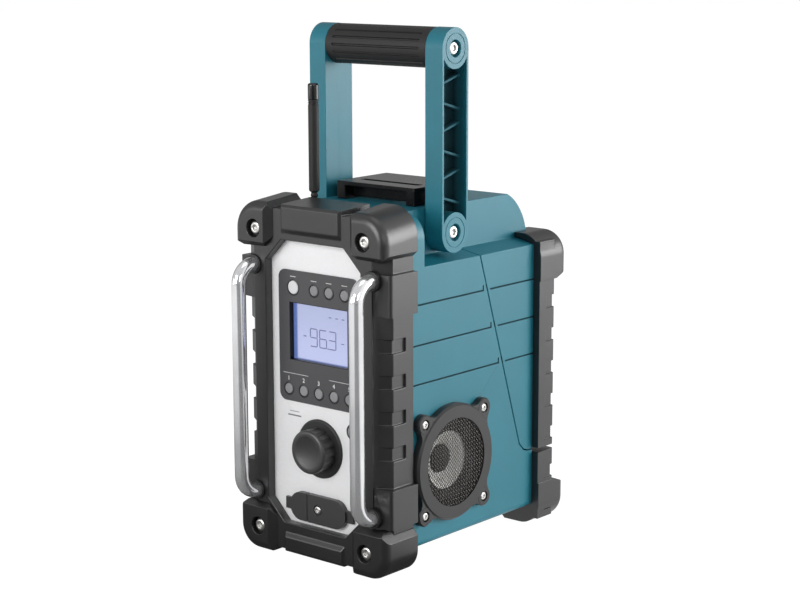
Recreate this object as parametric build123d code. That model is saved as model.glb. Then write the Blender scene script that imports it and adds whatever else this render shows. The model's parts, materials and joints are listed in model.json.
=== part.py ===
from build123d import *
import math
import os

# Jobsite radio: teal housing between a black armoured front frame and black rear corners, with a folding
# carry handle, a rear door over the battery pack, a panel of controls, two guard bars and two speakers.
# All lengths are in millimetres. +X is to the right seen from the front, +Y to the rear, +Z up.
# The origin is on the floor, under the middle of the whole radio's box.

# ---------------------------------------------------------------- overall
overall_width = 163.0        # across the corner bumpers
overall_depth = 259.7        # guard bars to rear corners
body_height = 293.5          # floor to the top of the front corner bumpers, at their faces
front_y = -overall_depth / 2
rear_y = overall_depth / 2
half_width = overall_width / 2
slip = 0.3                   # gap left between pieces that move past each other
running = 0.05               # radial clearance of a shaft in its bearing
fit = 0.2                    # gap round a fixed piece in its seat
overrun = 30.0               # how far a cutting shape reaches past what it cuts

# ---------------------------------------------------------------- front frame
bar_stand_off = 18.7         # guard bars in front of the bumper faces
bumper_proud = 5.7           # bumper face in front of the frame face
frame_depth = 34.5
frame_inset = 4.4            # side columns inside the bumpers
frame_foot, frame_drop = 5.0, 4.0        # frame above the floor and below the body's top
frame_round = 19.0           # corner radius of the frame in front view
column_inset = 17.8          # where the column's slanted face starts
column_setback = 1.8
column_slant = 7.9           # depth of the slanted face
bumper_y = front_y + bar_stand_off
frame_y = bumper_y + bumper_proud
frame_back_y = frame_y + frame_depth
frame_half = half_width - frame_inset
column_x = half_width - column_inset
frame_low, frame_high = frame_foot, body_height - frame_drop

block_setback, block_edge = 2.1, 3.0     # guard bar blocks: face behind the frame's, edge radius
low_block = (42.5, 74.5)
high_block_drop = (79.9, 46.5)
block_y = frame_y + block_setback
high_block = (body_height - high_block_drop[0], body_height - high_block_drop[1])

notch_count = 4
notch_height, notch_depth = 11.0, 2.0
notch_start, notch_step = 0.16, 0.2085   # shares of the column between the blocks
notch_edge, notch_back, notch_lip = 1.8, 9.7, 0.9
column_span = high_block[0] - low_block[1]
notch_low = low_block[1] + notch_start * column_span
notch_pitch = notch_step * column_span

opening_inset, opening_share, opening_drop = 29.9, 0.0954, 29.2
opening_chamfer = 18.0
wall_depth = 8.2             # frame face to panel face
panel_thick = 2.5
panel_lap = 3.0              # how far the panel reaches behind the opening's edge
cavity_inset, cavity_low, cavity_drop = 10.4, 19.0, 12.5
opening_half = half_width - opening_inset
opening_low, opening_high = opening_share * body_height, body_height - opening_drop
panel_y = frame_y + wall_depth
panel_back_y = panel_y + panel_thick
cavity_half, cavity_high = half_width - cavity_inset, body_height - cavity_drop

pad_proud, pad_bevel, pad_side, pad_climb, pad_edge = 2.5, 3.7, 2.0, 2.2, 2.0
top_pad_gap, low_pad_gap = 8.9, 8.4      # pads inside the bumpers
top_pad_drop, top_pad_rim = 23.5, 0.1
low_pad_low, low_pad_high = 3.5, 20.0

# ---------------------------------------------------------------- front bumpers
bumper_reach, bumper_face_reach = 40.1, 33.3     # from the outer face inwards
upper_bumper_tall, lower_bumper_tall = 36.0, 41.0
bumper_rise = 4.0            # how far the upper bumpers climb from front to back
upper_round, lower_round = 24.0, 20.0    # outer corners in front view
bumper_edge = 8.0            # radius of the front edges
bumper_cut, bumper_nick = 9.0, 6.0       # cut inner corners
upper_chamfer, lower_chamfer = (6.5, 5.0), (7.0, 9.0)    # cut of the outer corner next to the column
bumper_tilt, bumper_under = 1.0, 3.5     # fall of the upper piece's lower edge; slope under the face
screw_inset, screw_low_z, screw_drop = 22.5, 21.0, 21.5
screw_recess, screw_head, screw_shank = 7.6, 5.1, 2.5
screw_pocket = 0.5           # how far the recess goes into the frame
head_height, head_edge, socket_radius, socket_depth = 3.2, 1.6, 2.0, 1.8
head_lap = 0.2               # how far a shank reaches into its head
bumper_inner, bumper_inner_face = half_width - bumper_reach, half_width - bumper_face_reach
screw_x, screw_high_z = half_width - screw_inset, body_height - screw_drop
top_pad_half, low_pad_half = bumper_inner - top_pad_gap, bumper_inner - low_pad_gap
top_pad_low, top_pad_high = body_height - top_pad_drop, body_height - top_pad_rim

# ---------------------------------------------------------------- guard bars
bar_inset, bar_radius = 17.6, 6.0
bar_low_z, bar_drop = 50.5, 52.1
bar_bend = 16.0              # centre line radius
bar_seat = 7.0               # depth of the leg in the frame
grommet_radius, grommet_proud, grommet_seat = 8.0, 1.6, 4.0
bar_x, bar_high_z = half_width - bar_inset, body_height - bar_drop

# ---------------------------------------------------------------- housing
wall = 2.5
side_inset, hump_inset = 7.5, 28.7
housing_low = 16.5
pivot_share = 0.294323       # where the handle turns, as a share of the way from the frame to the rear
shoulder_drop_in, shoulder_drop_out, top_drop = 42.5, 46.5, 4.5
front_section = 17.6         # length of the full height part behind the frame
side_back_inset, back_inset = 38.45, 21.45       # rear ends of the side faces and of the back wall
corner_step, corner_reach = 8.0, 16.0    # plan of the cut rear corners
hump_break, hump_mid = 26.0, (11.4, 11.2)        # start and middle of the top's fall to the rear
hump_fall, hump_normal = 33.4, 0.7        # height lost at the back; components of the slope's normal
low_round, top_round = 6.0, 20.0
side_half, hump_half = half_width - side_inset, half_width - hump_inset
shoulder_in, shoulder_out = body_height - shoulder_drop_in, body_height - shoulder_drop_out
top_z = body_height - top_drop
side_back_y, back_y = rear_y - side_back_inset, rear_y - back_inset

seam_top_back = 29.65        # door seam's top behind the handle's pivot
seam_low_inset, seam_bend_inset = 56.65, 50.45   # its lower points, from the rear
seam_low_z, seam_bend_z, seam_end_z = 76.3, 70.0, 68.0
seam_run = 6.0               # length of the seam's last bend
seam_gap = 0.8
front_cut = 1.0              # how far the cavity's cut passes the housing's front
pivot_y = frame_back_y + pivot_share * (rear_y - frame_back_y)
seam_top = (pivot_y + seam_top_back, shoulder_out)
seam_low = (rear_y - seam_low_inset, seam_low_z)
seam_bend = (rear_y - seam_bend_inset, seam_bend_z)

groove_shares = (0.7377, 0.6269, 0.5179)
groove_width, groove_depth, groove_tick = 1.3, 0.9, 5.0
groove_front_gap, groove_rear_gap = 5.0, 3.5

# ---------------------------------------------------------------- rear corners
column_outer_inset, column_inner_inset = 1.0, 23.5
column_back_inset, column_edge = 15.05, 4.0
rear_reach = 41.5
rear_round = 20.0
rear_bumper_drop = (78.0, 38.0)
rear_foot_high, column_foot = 38.0, 6.0
rear_slope, rear_nick, rear_nick_low = 6.0, 5.0, 4.0
split_gap = 2.6              # between lower and upper rear corner pieces
column_drop = 6.0            # column's top below its bumper's top
tooth_pitch, tooth_depth, tooth_height, tooth_start = 29.0, 2.0, 11.0, 10.0
column_half, column_in = half_width - column_outer_inset, half_width - column_inner_inset
column_back_y = rear_y - column_back_inset
rear_inner = half_width - rear_reach
rear_bumper_low, rear_bumper_high = body_height - rear_bumper_drop[0], body_height - rear_bumper_drop[1]

# ---------------------------------------------------------------- bezel, display and keys
bezel_margin = 8.2           # between the opening's side and the bezel
bezel_shares = (0.44396, 0.81533)        # its lower and upper edge as shares of the body's height
bezel_thick, bezel_back, bezel_round = 1.2, 6.3, 7.0
bezel_lip = 2.2              # flange width round the bezel's boss
lcd_margin, lcd_shares = 11.8, (0.56218, 0.72504)
lcd_deep, lcd_glass, lcd_lip, lcd_body = 4.6, 1.4, 1.5, 4.6
board_thick, board_margin, board_top, board_low = 1.6, 4.6, 3.0, 16.0
button_proud, button_fit, button_edge = 0.5, 0.25, 1.1
button_flange, button_flange_thick, button_depth, flange_slip = 0.9, 1.2, 2.5, 0.1
stem_radius, travel = 1.8, 1.2
preset_radius, preset_share, preset_margin = 4.4, 0.47871, 10.3
function_radius, function_share, function_places = 4.4, 0.76593, (-0.0991, 0.2742, 0.6613)
power_radius, power_share, power_place = 5.6, 0.76695, -0.6244
select_radius, select_share, select_inset, select_proud = 4.8, 0.38978, 16.0, 1.0
bezel_half = opening_half - bezel_margin
bezel_low, bezel_high = bezel_shares[0] * body_height, bezel_shares[1] * body_height
lcd_half = bezel_half - lcd_margin
lcd_low, lcd_high = lcd_shares[0] * body_height, lcd_shares[1] * body_height
preset_pitch, preset_z = (bezel_half - preset_margin) / 2, preset_share * body_height
function_z, power_z = function_share * body_height, power_share * body_height
select_x, select_z = opening_half - select_inset, select_share * body_height
bezel_y, bezel_back_y = panel_y - bezel_thick, panel_y + bezel_back
glass_y = bezel_y + lcd_deep
board_y = glass_y + lcd_glass + lcd_body

# ---------------------------------------------------------------- knob and socket cover
knob_share, knob_radius, knob_front = 0.32232, 18.1, 16.0
knob_bevel, knob_flutes, flute_radius, flute_reach = 2.2, 15, 2.3, 1.265
flange_radius, flange_thick, flange_bevel = 24.6, 1.9, 1.2
dish_radius, dish_depth = 13.3, 1.6
shaft_radius, shaft_cover, bushing_radius = 3.0, 5.0, 4.6
encoder_half, encoder_wall = 7.0, 1.6
knob_z = knob_share * body_height
knob_y = panel_y - knob_front

aux_share, aux_inset, aux_half_height, aux_thick = 0.14787, 21.2, 12.0, 4.4
aux_tab_length, aux_tab_half, aux_tab_setback, aux_corner = 7.2, 5.0, 2.0, 0.5
aux_hinge_x, aux_jack_x = -12.0, -22.0
jack_radius, jack_bore, jack_length, jack_end = 4.0, 1.85, 14.0, 2.0
aux_screw_head, aux_screw_hole, aux_screw_sink, aux_screw_rim, aux_screw_proud = 3.6, 1.6, 1.6, 0.8, 0.6
aux_screw_edge, small_lap = 0.9, 0.1     # edge radius; how far the small shanks reach into their heads
aux_z, aux_half = aux_share * body_height, opening_half - aux_inset
aux_y = panel_y - aux_thick

# ---------------------------------------------------------------- speakers
ring_radius, ring_band, ring_proud, ring_bevel = 48.5, 10.3, 7.5, 1.8
ring_gap = 0.75              # between the ring and the front frame
speaker_z = 82.0
ear_inset, ear_radius, ear_setback, ear_bevel = 10.5, 8.4, 1.0, 1.0
ear_screw, ear_screw_rim, ear_screw_sink, ear_screw_head, ear_screw_hole = 3.7, 0.7, 3.6, 2.3, 1.6
mesh_thick, mesh_depth, mesh_lap = 1.0, 3.4, 1.5
basket_lap, basket_flange, basket_wall, basket_gap = 2.8, 1.5, 3.0, 0.4
cone_radius, cone_throat, cone_depth, cone_paper = 25.0, 12.0, 9.0, 1.0
cap_radius, cap_height = 10.0, 5.0
magnet_radius, magnet_length = 25.0, 14.0
mesh_radius, ear_offset = ring_radius - ring_band, ring_radius - ear_inset
basket_radius = mesh_radius + basket_lap
speaker_y = frame_back_y + ring_radius + ring_gap
ring_face = side_half + ring_proud

# ---------------------------------------------------------------- handle
pivot_drop = 24.2
grip_rise = 147.3
arm_inset, arm_thick, arm_radius = 10.2, 17.6, 16.7
pocket_depth, pocket_wall = 15.0, 2.5
boss_radius, boss_groove, groove_cut = 16.4, 12.0, 0.5
rib_count, rib_drop, rib_thick, rib_tilt, rib_root = 6, 7.5, 2.2, 4.0, 0.2
grip_radius, tube_radius = 16.5, 9.0
grip_slots, slot_width, slot_depth, slot_end = 16, 1.8, 1.4, 6.0
pivot_shank, pivot_head, pivot_recess, recess_depth = 4.0, 5.6, 7.0, 4.0
side_head, side_head_edge, side_socket = 2.8, 1.2, 1.8
pivot_seat, pivot_wall, grip_screw, grip_screw_reach = 10.0, 3.0, 2.5, 14.0
pivot_z = body_height - pivot_drop
grip_z = pivot_z + grip_rise
arm_out = half_width - arm_inset
arm_in = arm_out - arm_thick

# ---------------------------------------------------------------- door hinge
hinge_inset, hinge_z = 14.65, 66.7
knuckle_radius, hinge_pin, hinge_web, hinge_root = 4.2, 2.0, 4.7, 0.5
knuckle_edges = (-38.0, -22.0, -6.0, 6.0, 22.0, 38.0)
hinge_y = rear_y - hinge_inset

# ---------------------------------------------------------------- latch
latch_length, latch_tail = 62.2, 3.8     # in front of and behind its hinge line
latch_front_margin, latch_back_margin = 10.8, 4.8
latch_rise, latch_plate, latch_leg = 15.0, 3.6, 9.0
latch_pivot_back, latch_pivot_rise = 16.2, 4.0
latch_pin, latch_knuckle, latch_lug, lug_root = 1.5, 3.2, 10.0, 1.0
latch_wall_back, latch_wall, latch_wall_foot = 12.0, 3.0, 1.5
latch_slot_back, latch_slot_half, latch_slot_width = 20.5, 31.5, 6.0
pin_end = 0.5                # how far a hinge pin stops inside its outer knuckles
latch_pivot_y, latch_pivot_z = seam_top[0] + latch_pivot_back, top_z + latch_pivot_rise
latch_front_y, latch_back_y = latch_pivot_y - latch_length, latch_pivot_y + latch_tail
latch_front_half, latch_back_half = hump_half - latch_front_margin, hump_half - latch_back_margin
latch_high, latch_gap_half = top_z + latch_rise, latch_front_half - latch_leg

# ---------------------------------------------------------------- antenna
antenna_margin, antenna_back = 8.4, 17.55
antenna_radius, antenna_rise, antenna_cap = 4.4, 97.5, 13.5
antenna_pivot_rise, antenna_ball, antenna_neck, antenna_taper = 5.0, 3.0, 2.6, 3.0
antenna_base, cap_step, cap_edge = 7.0, 0.1, 1.0
antenna_x, antenna_y = antenna_margin - hump_half, frame_back_y + antenna_back
antenna_high, antenna_pivot_z = top_z + antenna_rise, top_z + antenna_pivot_rise

# ---------------------------------------------------------------- battery bay and boards
pack_half, pack_inset, pack_length, pack_round = 37.5, 12.4, 62.0, 5.0
pack_low, pack_drop, pack_gap = 100.0, 78.5, 1.0
terminal_thick, terminal_half, terminal_margin = 3.0, 20.0, (15.0, 20.0)
bay_wall, bulkhead_back = 2.0, 4.0
dc_x, dc_z, dc_radius, dc_bore, dc_length = 20.0, 42.0, 5.5, 2.75, 11.0
pcb_margin, pcb_back, pcb_length, pcb_z = 2.8, 10.95, 75.0, 26.0
post_inset, post_radius = 5.0, 3.0
pack_back_y, pack_high = back_y - pack_inset, body_height - pack_drop
pack_front_y = pack_back_y - pack_length
pcb_half, pcb_front_y = hump_half - pcb_margin, frame_back_y + pcb_back

os.makedirs("parts", exist_ok=True)


# ================================================================ shape helpers
def block(x0, x1, y0, y1, z0, z1):
    """A box between two corners."""
    box = Box(x1 - x0, y1 - y0, z1 - z0)
    return Pos((x0 + x1) / 2, (y0 + y1) / 2, (z0 + z1) / 2) * box


def outline_face(axis, near, corners):
    """A flat face from (u, v) or (u, v, corner radius) points, square to an axis.

    Square to x the points are (y, z), square to y they are (x, z), and square to z they are (x, y).
    """
    order = {"x": lambda u, v: (near, u, v), "y": lambda u, v: (u, near, v), "z": lambda u, v: (u, v, near)}
    points = [Vector(*order[axis](corner[0], corner[1])) for corner in corners]
    face = Face(Wire.make_polygon(points, close=True))
    for corner, point in zip(corners, points):
        if len(corner) > 2:
            vertex = min(face.vertices(), key=lambda v: (Vector(*v) - point).length)
            face = face.fillet_2d(corner[2], [vertex])
    return face


def prism(axis, near, far, corners):
    """Extrude an outline from near to far along an axis."""
    direction = {"x": (1, 0, 0), "y": (0, 1, 0), "z": (0, 0, 1)}[axis]
    return extrude(outline_face(axis, near, corners), amount=far - near, dir=direction)


def rod(axis, near, far, u, v, radius):
    """A cylinder from near to far along an axis, at (u, v) in the same order as prism."""
    turn = {"x": Rot(0, 90, 0), "y": Rot(90, 0, 0), "z": Rot(0, 0, 0)}[axis]
    middle = (near + far) / 2
    place = {"x": (middle, u, v), "y": (u, middle, v), "z": (u, v, middle)}[axis]
    return Pos(*place) * (turn * Cylinder(radius, far - near))


def mirrored(part):
    """The same piece on the other side of the radio."""
    return mirror(part, about=Plane.YZ)


def both(part):
    """A piece and its mirror image, as two solids."""
    return Compound(children=[part, mirrored(part)])


def cut_both(part, tool):
    """A part with a tool and the tool's mirror image cut away."""
    return part - tool - mirrored(tool)


def save(node, *pieces):
    """Write one sub-part."""
    solids = [solid for piece in pieces for solid in piece.solids()]
    export_step(Compound(solids), f"parts/{node}.step")


def armour_block(face_y, root_y, outline, rise, rounded):
    """A corner piece from its face back to its root, climbing by a rise, with chosen face edges rounded."""
    reach = Vector(0, root_y - face_y, rise)
    solid = extrude(outline_face("y", face_y, outline), amount=reach.length, dir=tuple(reach))
    edges = [edge for edge in solid.edges()
             if abs(edge.center().Y - face_y) < slip and rounded(edge.center())]
    return fillet(edges, bumper_edge)


# ================================================================ housing
def shoulder_section(inset):
    """Cross section of the housing behind the front section, as (x, z) corners."""
    x, low, radius = side_half - inset, housing_low + inset, low_round - inset
    return [(-x, low, radius), (x, low, radius), (x, shoulder_out - inset),
            (hump_half - inset, shoulder_in - inset), (-hump_half + inset, shoulder_in - inset),
            (-x, shoulder_out - inset)]


def teal_plan(inset):
    """Plan of the housing, with its rear corners cut back for the black corner pieces."""
    x, back, step = side_half - inset, back_y - inset, side_back_y - inset
    return [(-x, frame_back_y), (x, frame_back_y), (x, step), (x - corner_step, step),
            (x - corner_reach, back), (-x + corner_reach, back), (-x + corner_step, step), (-x, step)]


def hump(inset):
    """The raised middle with its falling rear end."""
    top, back, x = top_z - inset, back_y - inset, hump_half - inset
    root = shoulder_out - overrun
    lean = inset * hump_normal
    start = Vector(-x, back_y - hump_break, top)
    middle = Vector(-x, back_y - hump_mid[0] - lean, top_z - hump_mid[1] - lean)
    end = Vector(-x, back, top_z - hump_fall)
    edges = [Edge.make_line((-x, frame_back_y, root), (-x, frame_back_y, top)),
             Edge.make_line((-x, frame_back_y, top), start),
             Edge.make_three_point_arc(start, middle, end),
             Edge.make_line(end, (-x, back, root)),
             Edge.make_line((-x, back, root), (-x, frame_back_y, root))]
    return extrude(Face(Wire(edges)), amount=2 * x, dir=(1, 0, 0))


def body_form(inset):
    """The outer form of the teal housing, or the same form inset by a wall."""
    lower = prism("y", frame_back_y, back_y, shoulder_section(inset))
    lower &= prism("z", 0, body_height, teal_plan(inset))
    x, low, high = side_half - inset, housing_low + inset, top_z - inset
    front = prism("y", frame_back_y, frame_back_y + front_section - inset,
                  [(-x, low, low_round - inset), (x, low, low_round - inset),
                   (x, high, top_round - inset), (-x, high, top_round - inset)])
    return lower + front + hump(inset)


def seam_y(z):
    """Where the door seam's sloping stretch lies at a height."""
    slope = (seam_low[0] - seam_top[0]) / (seam_top[1] - seam_low[1])
    return seam_top[0] + (seam_top[1] - z) * slope


def door_region(shift):
    """Everything behind and above the door seam, moved back from it by a shift."""
    high, wide, far = body_height + overrun, half_width + overrun, rear_y + overrun
    return prism("x", -wide, wide, [
        (seam_y(high) + shift, high), (seam_low[0] + shift, seam_low[1] + shift / 2),
        (seam_bend[0] + shift / 2, seam_bend[1] + shift), (seam_bend[0] + seam_run, seam_end_z + shift),
        (far, seam_end_z + shift), (far, high)])


def side_grooves():
    """Shallow horizontal lines in the right side face, with a short upward tick beside the seam."""
    inner, outer = side_half - groove_depth, side_half + groove_depth
    cuts = []
    for share in groove_shares:
        z = share * body_height
        front_end, rear_start = seam_y(z) - groove_front_gap, seam_y(z) + groove_rear_gap
        cuts.append(block(inner, outer, frame_back_y, front_end, z, z + groove_width))
        cuts.append(block(inner, outer, front_end - groove_width, front_end, z, z + groove_tick))
        cuts.append(block(inner, outer, rear_start, back_y, z, z + groove_width))
    return cuts[0].fuse(*cuts[1:])


def bay_solids(inner):
    """Bulkhead along the seam, and the tray in it that holds the battery pack."""
    sheet = (door_region(-bulkhead_back - wall) - door_region(-bulkhead_back)) & inner
    hollow_x, hollow_front = pack_half + pack_gap, pack_front_y - terminal_thick
    outer = block(-hollow_x - bay_wall, hollow_x + bay_wall, hollow_front - bay_wall, back_y,
                  pack_low - 2 * bay_wall, pack_high + 2 * bay_wall)
    hollow = block(-hollow_x, hollow_x, hollow_front, back_y + overrun, pack_low, pack_high + bay_wall)
    return (sheet - hollow) + ((outer - hollow) - door_region(-bulkhead_back))


def hinge_knuckles(first, web_low, web_high, wall_edge, bore):
    """Every other knuckle of the door hinge, with the web that ties it to the back wall beyond its edge."""
    below = web_low < wall_edge - hinge_pin
    root_low = web_low if below else max(wall_edge, web_low)
    root_high = min(wall_edge, web_high) if below else web_high
    knuckles = []
    for index in range(first, len(knuckle_edges) - 1, 2):
        left, right = knuckle_edges[index] + slip / 2, knuckle_edges[index + 1] - slip / 2
        piece = rod("x", left, right, hinge_y, hinge_z, knuckle_radius)
        piece += block(left, right, back_y, hinge_y, web_low, web_high)
        piece += block(left, right, back_y - hinge_root, back_y + hinge_root, root_low, root_high)
        knuckles.append(piece - rod("x", left, right, hinge_y, hinge_z, bore))
    return knuckles


def main_housing(form, inner):
    """The fixed teal shell with its bulkhead, battery bay, board posts and handle seats."""
    shell = form - inner - door_region(-seam_gap / 2)
    shell += bay_solids(inner)
    for x in (-pcb_half + post_inset, pcb_half - post_inset):
        for y in (pcb_front_y + post_inset, pcb_front_y + pcb_length - post_inset):
            shell += rod("z", housing_low + wall, pcb_z, x, y, post_radius)
    seat = rod("x", hump_half - pivot_seat, hump_half - wall, pivot_y, pivot_z, pivot_shank + pivot_wall)
    shell += seat
    shell += mirrored(seat)
    shell = cut_both(shell, rod("x", hump_half - pivot_seat, hump_half, pivot_y, pivot_z, pivot_shank))
    shell = cut_both(shell, rod("x", side_half - wall, side_half, speaker_y, speaker_z, mesh_radius))
    shell = cut_both(shell, side_grooves())
    shell -= rod("z", top_z - wall, top_z, antenna_x, antenna_y, antenna_base)
    shell -= rod("y", back_y - wall, back_y, dc_x, dc_z, dc_radius)
    for knuckle in hinge_knuckles(0, hinge_z - hinge_web, hinge_z, seam_end_z - seam_gap / 2, hinge_pin):
        shell += knuckle
    return shell


def battery_door(form, inner):
    """The teal rear shell with its hinge knuckles and the two lugs of the latch."""
    shell = cut_both((form - inner) & door_region(seam_gap / 2), side_grooves())
    near, far = latch_gap_half - latch_lug, latch_gap_half - slip
    lug = rod("x", near, far, latch_pivot_y, latch_pivot_z, latch_knuckle)
    lug += block(near, far, latch_pivot_y - latch_knuckle, latch_pivot_y + latch_knuckle,
                 top_z - lug_root, latch_pivot_z)
    lug -= rod("x", near, far, latch_pivot_y, latch_pivot_z, latch_pin)
    shell += lug
    shell += mirrored(lug)
    for knuckle in hinge_knuckles(1, hinge_z, hinge_z + hinge_web, seam_end_z + seam_gap / 2,
                                  hinge_pin + running):
        shell += knuckle
    return shell


# ================================================================ front frame
def frame_form():
    """Solid outline of the front frame with its side columns and guard bar blocks."""
    side_y = frame_y + column_setback
    plan = [(-frame_half, frame_back_y), (-frame_half, side_y + column_slant), (-column_x, side_y),
            (-column_x, frame_y), (column_x, frame_y), (column_x, side_y),
            (frame_half, side_y + column_slant), (frame_half, frame_back_y)]
    outline = [(-frame_half, frame_low, frame_round), (frame_half, frame_low, frame_round),
               (frame_half, frame_high, frame_round), (-frame_half, frame_high, frame_round)]
    solid = prism("z", frame_low, frame_high, plan) & prism("y", frame_y, frame_back_y, outline)
    root = column_x - front_cut
    for low, high in (low_block, high_block):
        piece = prism("z", low, high, [(root, frame_back_y), (half_width, frame_back_y),
                                       (half_width, block_y, block_edge), (root, block_y)])
        solid += piece
        solid += mirrored(piece)
    return solid


def column_notches():
    """Wrap-round notches in the right side column."""
    side_y, deep = frame_y + column_setback, frame_half - notch_depth
    start_x = column_x + notch_edge
    start_y = side_y + notch_edge * column_slant / (frame_half - column_x)
    corners = [(half_width, frame_back_y - notch_back), (deep, frame_back_y - notch_back),
               (deep, side_y + column_slant + notch_lip), (start_x, start_y),
               (start_x, start_y - notch_depth), (half_width, side_y + column_slant - notch_lip)]
    lows = [notch_low + index * notch_pitch for index in range(notch_count)]
    cuts = [prism("z", low, low + notch_height, corners) for low in lows]
    return cuts[0].fuse(*cuts[1:])


def frame_pad(half, side):
    """One of the two long pads between the bumpers, from its side outline and its half width."""
    face = frame_y - pad_proud
    plan = [(-half, frame_back_y), (-half, frame_y), (-half + pad_side, face), (half - pad_side, face),
            (half, frame_y), (half, frame_back_y)]
    pad = prism("x", -half, half, side) & prism("z", 0, body_height + overrun, plan)
    return pad - block(-half, half, panel_y, frame_back_y, cavity_low, cavity_high)


def front_frame(form):
    """The frame with its eight-cornered opening, the panel's seat, the cavity and the pads."""
    cut, half = opening_chamfer, opening_half
    octagon = [(-half, opening_low + cut), (-half + cut, opening_low), (half - cut, opening_low),
               (half, opening_low + cut), (half, opening_high - cut), (half - cut, opening_high),
               (-half + cut, opening_high), (-half, opening_high - cut)]
    solid = form - prism("y", frame_y, panel_y, octagon)
    solid -= block(-half - panel_lap, half + panel_lap, panel_y, panel_back_y,
                   opening_low - panel_lap, opening_high + panel_lap)
    solid -= block(-cavity_half, cavity_half, panel_back_y, frame_back_y, cavity_low, cavity_high)
    face = frame_y - pad_proud
    solid += frame_pad(top_pad_half, [
        (frame_back_y, top_pad_low), (frame_y, top_pad_low), (face, top_pad_low + pad_bevel),
        (face, top_pad_high - pad_edge), (face + pad_edge, top_pad_high),
        (frame_back_y, top_pad_high + pad_climb)])
    solid += frame_pad(low_pad_half, [
        (frame_back_y, low_pad_low), (face + pad_edge, low_pad_low), (face, low_pad_low + pad_edge),
        (face, low_pad_high - pad_bevel), (frame_y, low_pad_high), (frame_back_y, low_pad_high)])
    solid = cut_both(solid, column_notches())
    for z in (bar_low_z, bar_high_z):
        solid = cut_both(solid, rod("y", frame_y, frame_y + bar_seat, bar_x, z, bar_radius))
        solid = cut_both(solid, rod("y", frame_y, frame_y + grommet_seat, bar_x, z, grommet_radius))
    for z in (screw_low_z, screw_high_z):
        solid = cut_both(solid, rod("y", frame_y, frame_y + screw_pocket, screw_x, z, screw_recess))
        solid = cut_both(solid, rod("y", frame_y, panel_back_y, screw_x, z, screw_shank))
    return solid


def upper_bumper():
    """Right-hand upper corner piece that wraps the frame's corner and climbs towards its back."""
    inner, high, low = bumper_inner, body_height, body_height - upper_bumper_tall
    top = high + bumper_rise
    root = low - overrun
    solid = armour_block(bumper_y, frame_back_y, [
        (inner, root), (half_width, root), (half_width, high, upper_round), (inner + bumper_nick, high),
        (inner, high - bumper_nick)], bumper_rise,
        lambda c: c.Z > root + overrun / 2 and c.X > inner + bumper_nick)
    solid &= prism("y", bumper_y, frame_back_y, [
        (inner, top), (inner, low + bumper_cut), (inner + bumper_cut, low),
        (half_width - upper_chamfer[0], low - bumper_tilt), (half_width, low + upper_chamfer[1]),
        (half_width, top)])
    solid &= prism("x", inner, half_width, [
        (frame_back_y, low - bumper_tilt), (frame_y, low - bumper_tilt), (bumper_y, low + bumper_under),
        (bumper_y, top), (frame_back_y, top)])
    return finished_bumper(solid, top, screw_high_z)


def lower_bumper():
    """Right-hand lower corner piece, a foot of the radio."""
    inner, high = bumper_inner, lower_bumper_tall
    root = high + overrun
    solid = armour_block(bumper_y, frame_back_y, [
        (inner + bumper_nick, 0), (half_width, 0, lower_round), (half_width, root), (inner, root),
        (inner, bumper_nick)], 0, lambda c: c.Z < root - overrun / 2 and c.X > inner + bumper_nick)
    solid &= prism("y", bumper_y, frame_back_y, [
        (inner, 0), (half_width, 0), (half_width, high - lower_chamfer[1]),
        (half_width - lower_chamfer[0], high), (inner + bumper_cut, high), (inner, high - bumper_cut)])
    solid &= prism("x", inner, half_width, [
        (frame_back_y, 0), (bumper_y, 0), (bumper_y, high - bumper_under), (frame_y, high),
        (frame_back_y, high)])
    return finished_bumper(solid, high, screw_low_z)


def finished_bumper(solid, high, z):
    """A front bumper with its slanted inner flank and its screw's recess."""
    solid &= prism("z", 0, high, [(bumper_inner, frame_back_y), (bumper_inner, frame_y),
                                  (bumper_inner_face, bumper_y), (half_width, bumper_y),
                                  (half_width, frame_back_y)])
    return solid - rod("y", bumper_y, frame_y + screw_pocket, screw_x, z, screw_recess)


def bumper_screw(z):
    """Button-head screw with a hexagon socket, seated at the bottom of its recess."""
    seat = frame_y + screw_pocket
    face = seat - head_height
    head = rod("y", face, seat, screw_x, z, screw_head)
    head = fillet(head.edges().sort_by(Axis.Y)[0], head_edge)
    socket = extrude(RegularPolygon(socket_radius, 6), amount=socket_depth)
    head -= Pos(screw_x, face + socket_depth, z) * (Rot(90, 0, 0) * socket)
    return head + rod("y", seat - head_lap, panel_back_y, screw_x, z, screw_shank)


def guard_bar():
    """Right-hand chrome bar: one vertical run and two legs."""
    y, inside = front_y + bar_radius, frame_y + bar_seat
    corners = [(bar_x, inside, bar_low_z), (bar_x, y, bar_low_z), (bar_x, y, bar_high_z),
               (bar_x, inside, bar_high_z)]
    path = FilletPolyline(corners, radius=bar_bend)
    section = Plane(origin=corners[0], z_dir=(0, -1, 0)) * Circle(bar_radius)
    return sweep(section, path=path)


def grommet(z):
    """Rubber ring where a leg of the right guard bar enters its block."""
    near, far = frame_y - grommet_proud, frame_y + grommet_seat
    return rod("y", near, far, bar_x, z, grommet_radius) - rod("y", near, far, bar_x, z, bar_radius)


# ================================================================ rear corners
def toothed_column(low, high):
    """Right rear corner column with teeth round its outer corner."""
    column = prism("z", low, high, [(column_in, side_back_y), (column_half, side_back_y),
                                    (column_half, column_back_y, column_edge), (column_in, column_back_y)])
    z = low + tooth_height / 2
    while z + tooth_height < high:
        column -= block(column_half - tooth_depth, half_width, side_back_y + tooth_start, rear_y,
                        z, z + tooth_height)
        column -= block(column_in, half_width, column_back_y - tooth_depth, rear_y, z, z + tooth_height)
        z += tooth_pitch
    return column


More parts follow.
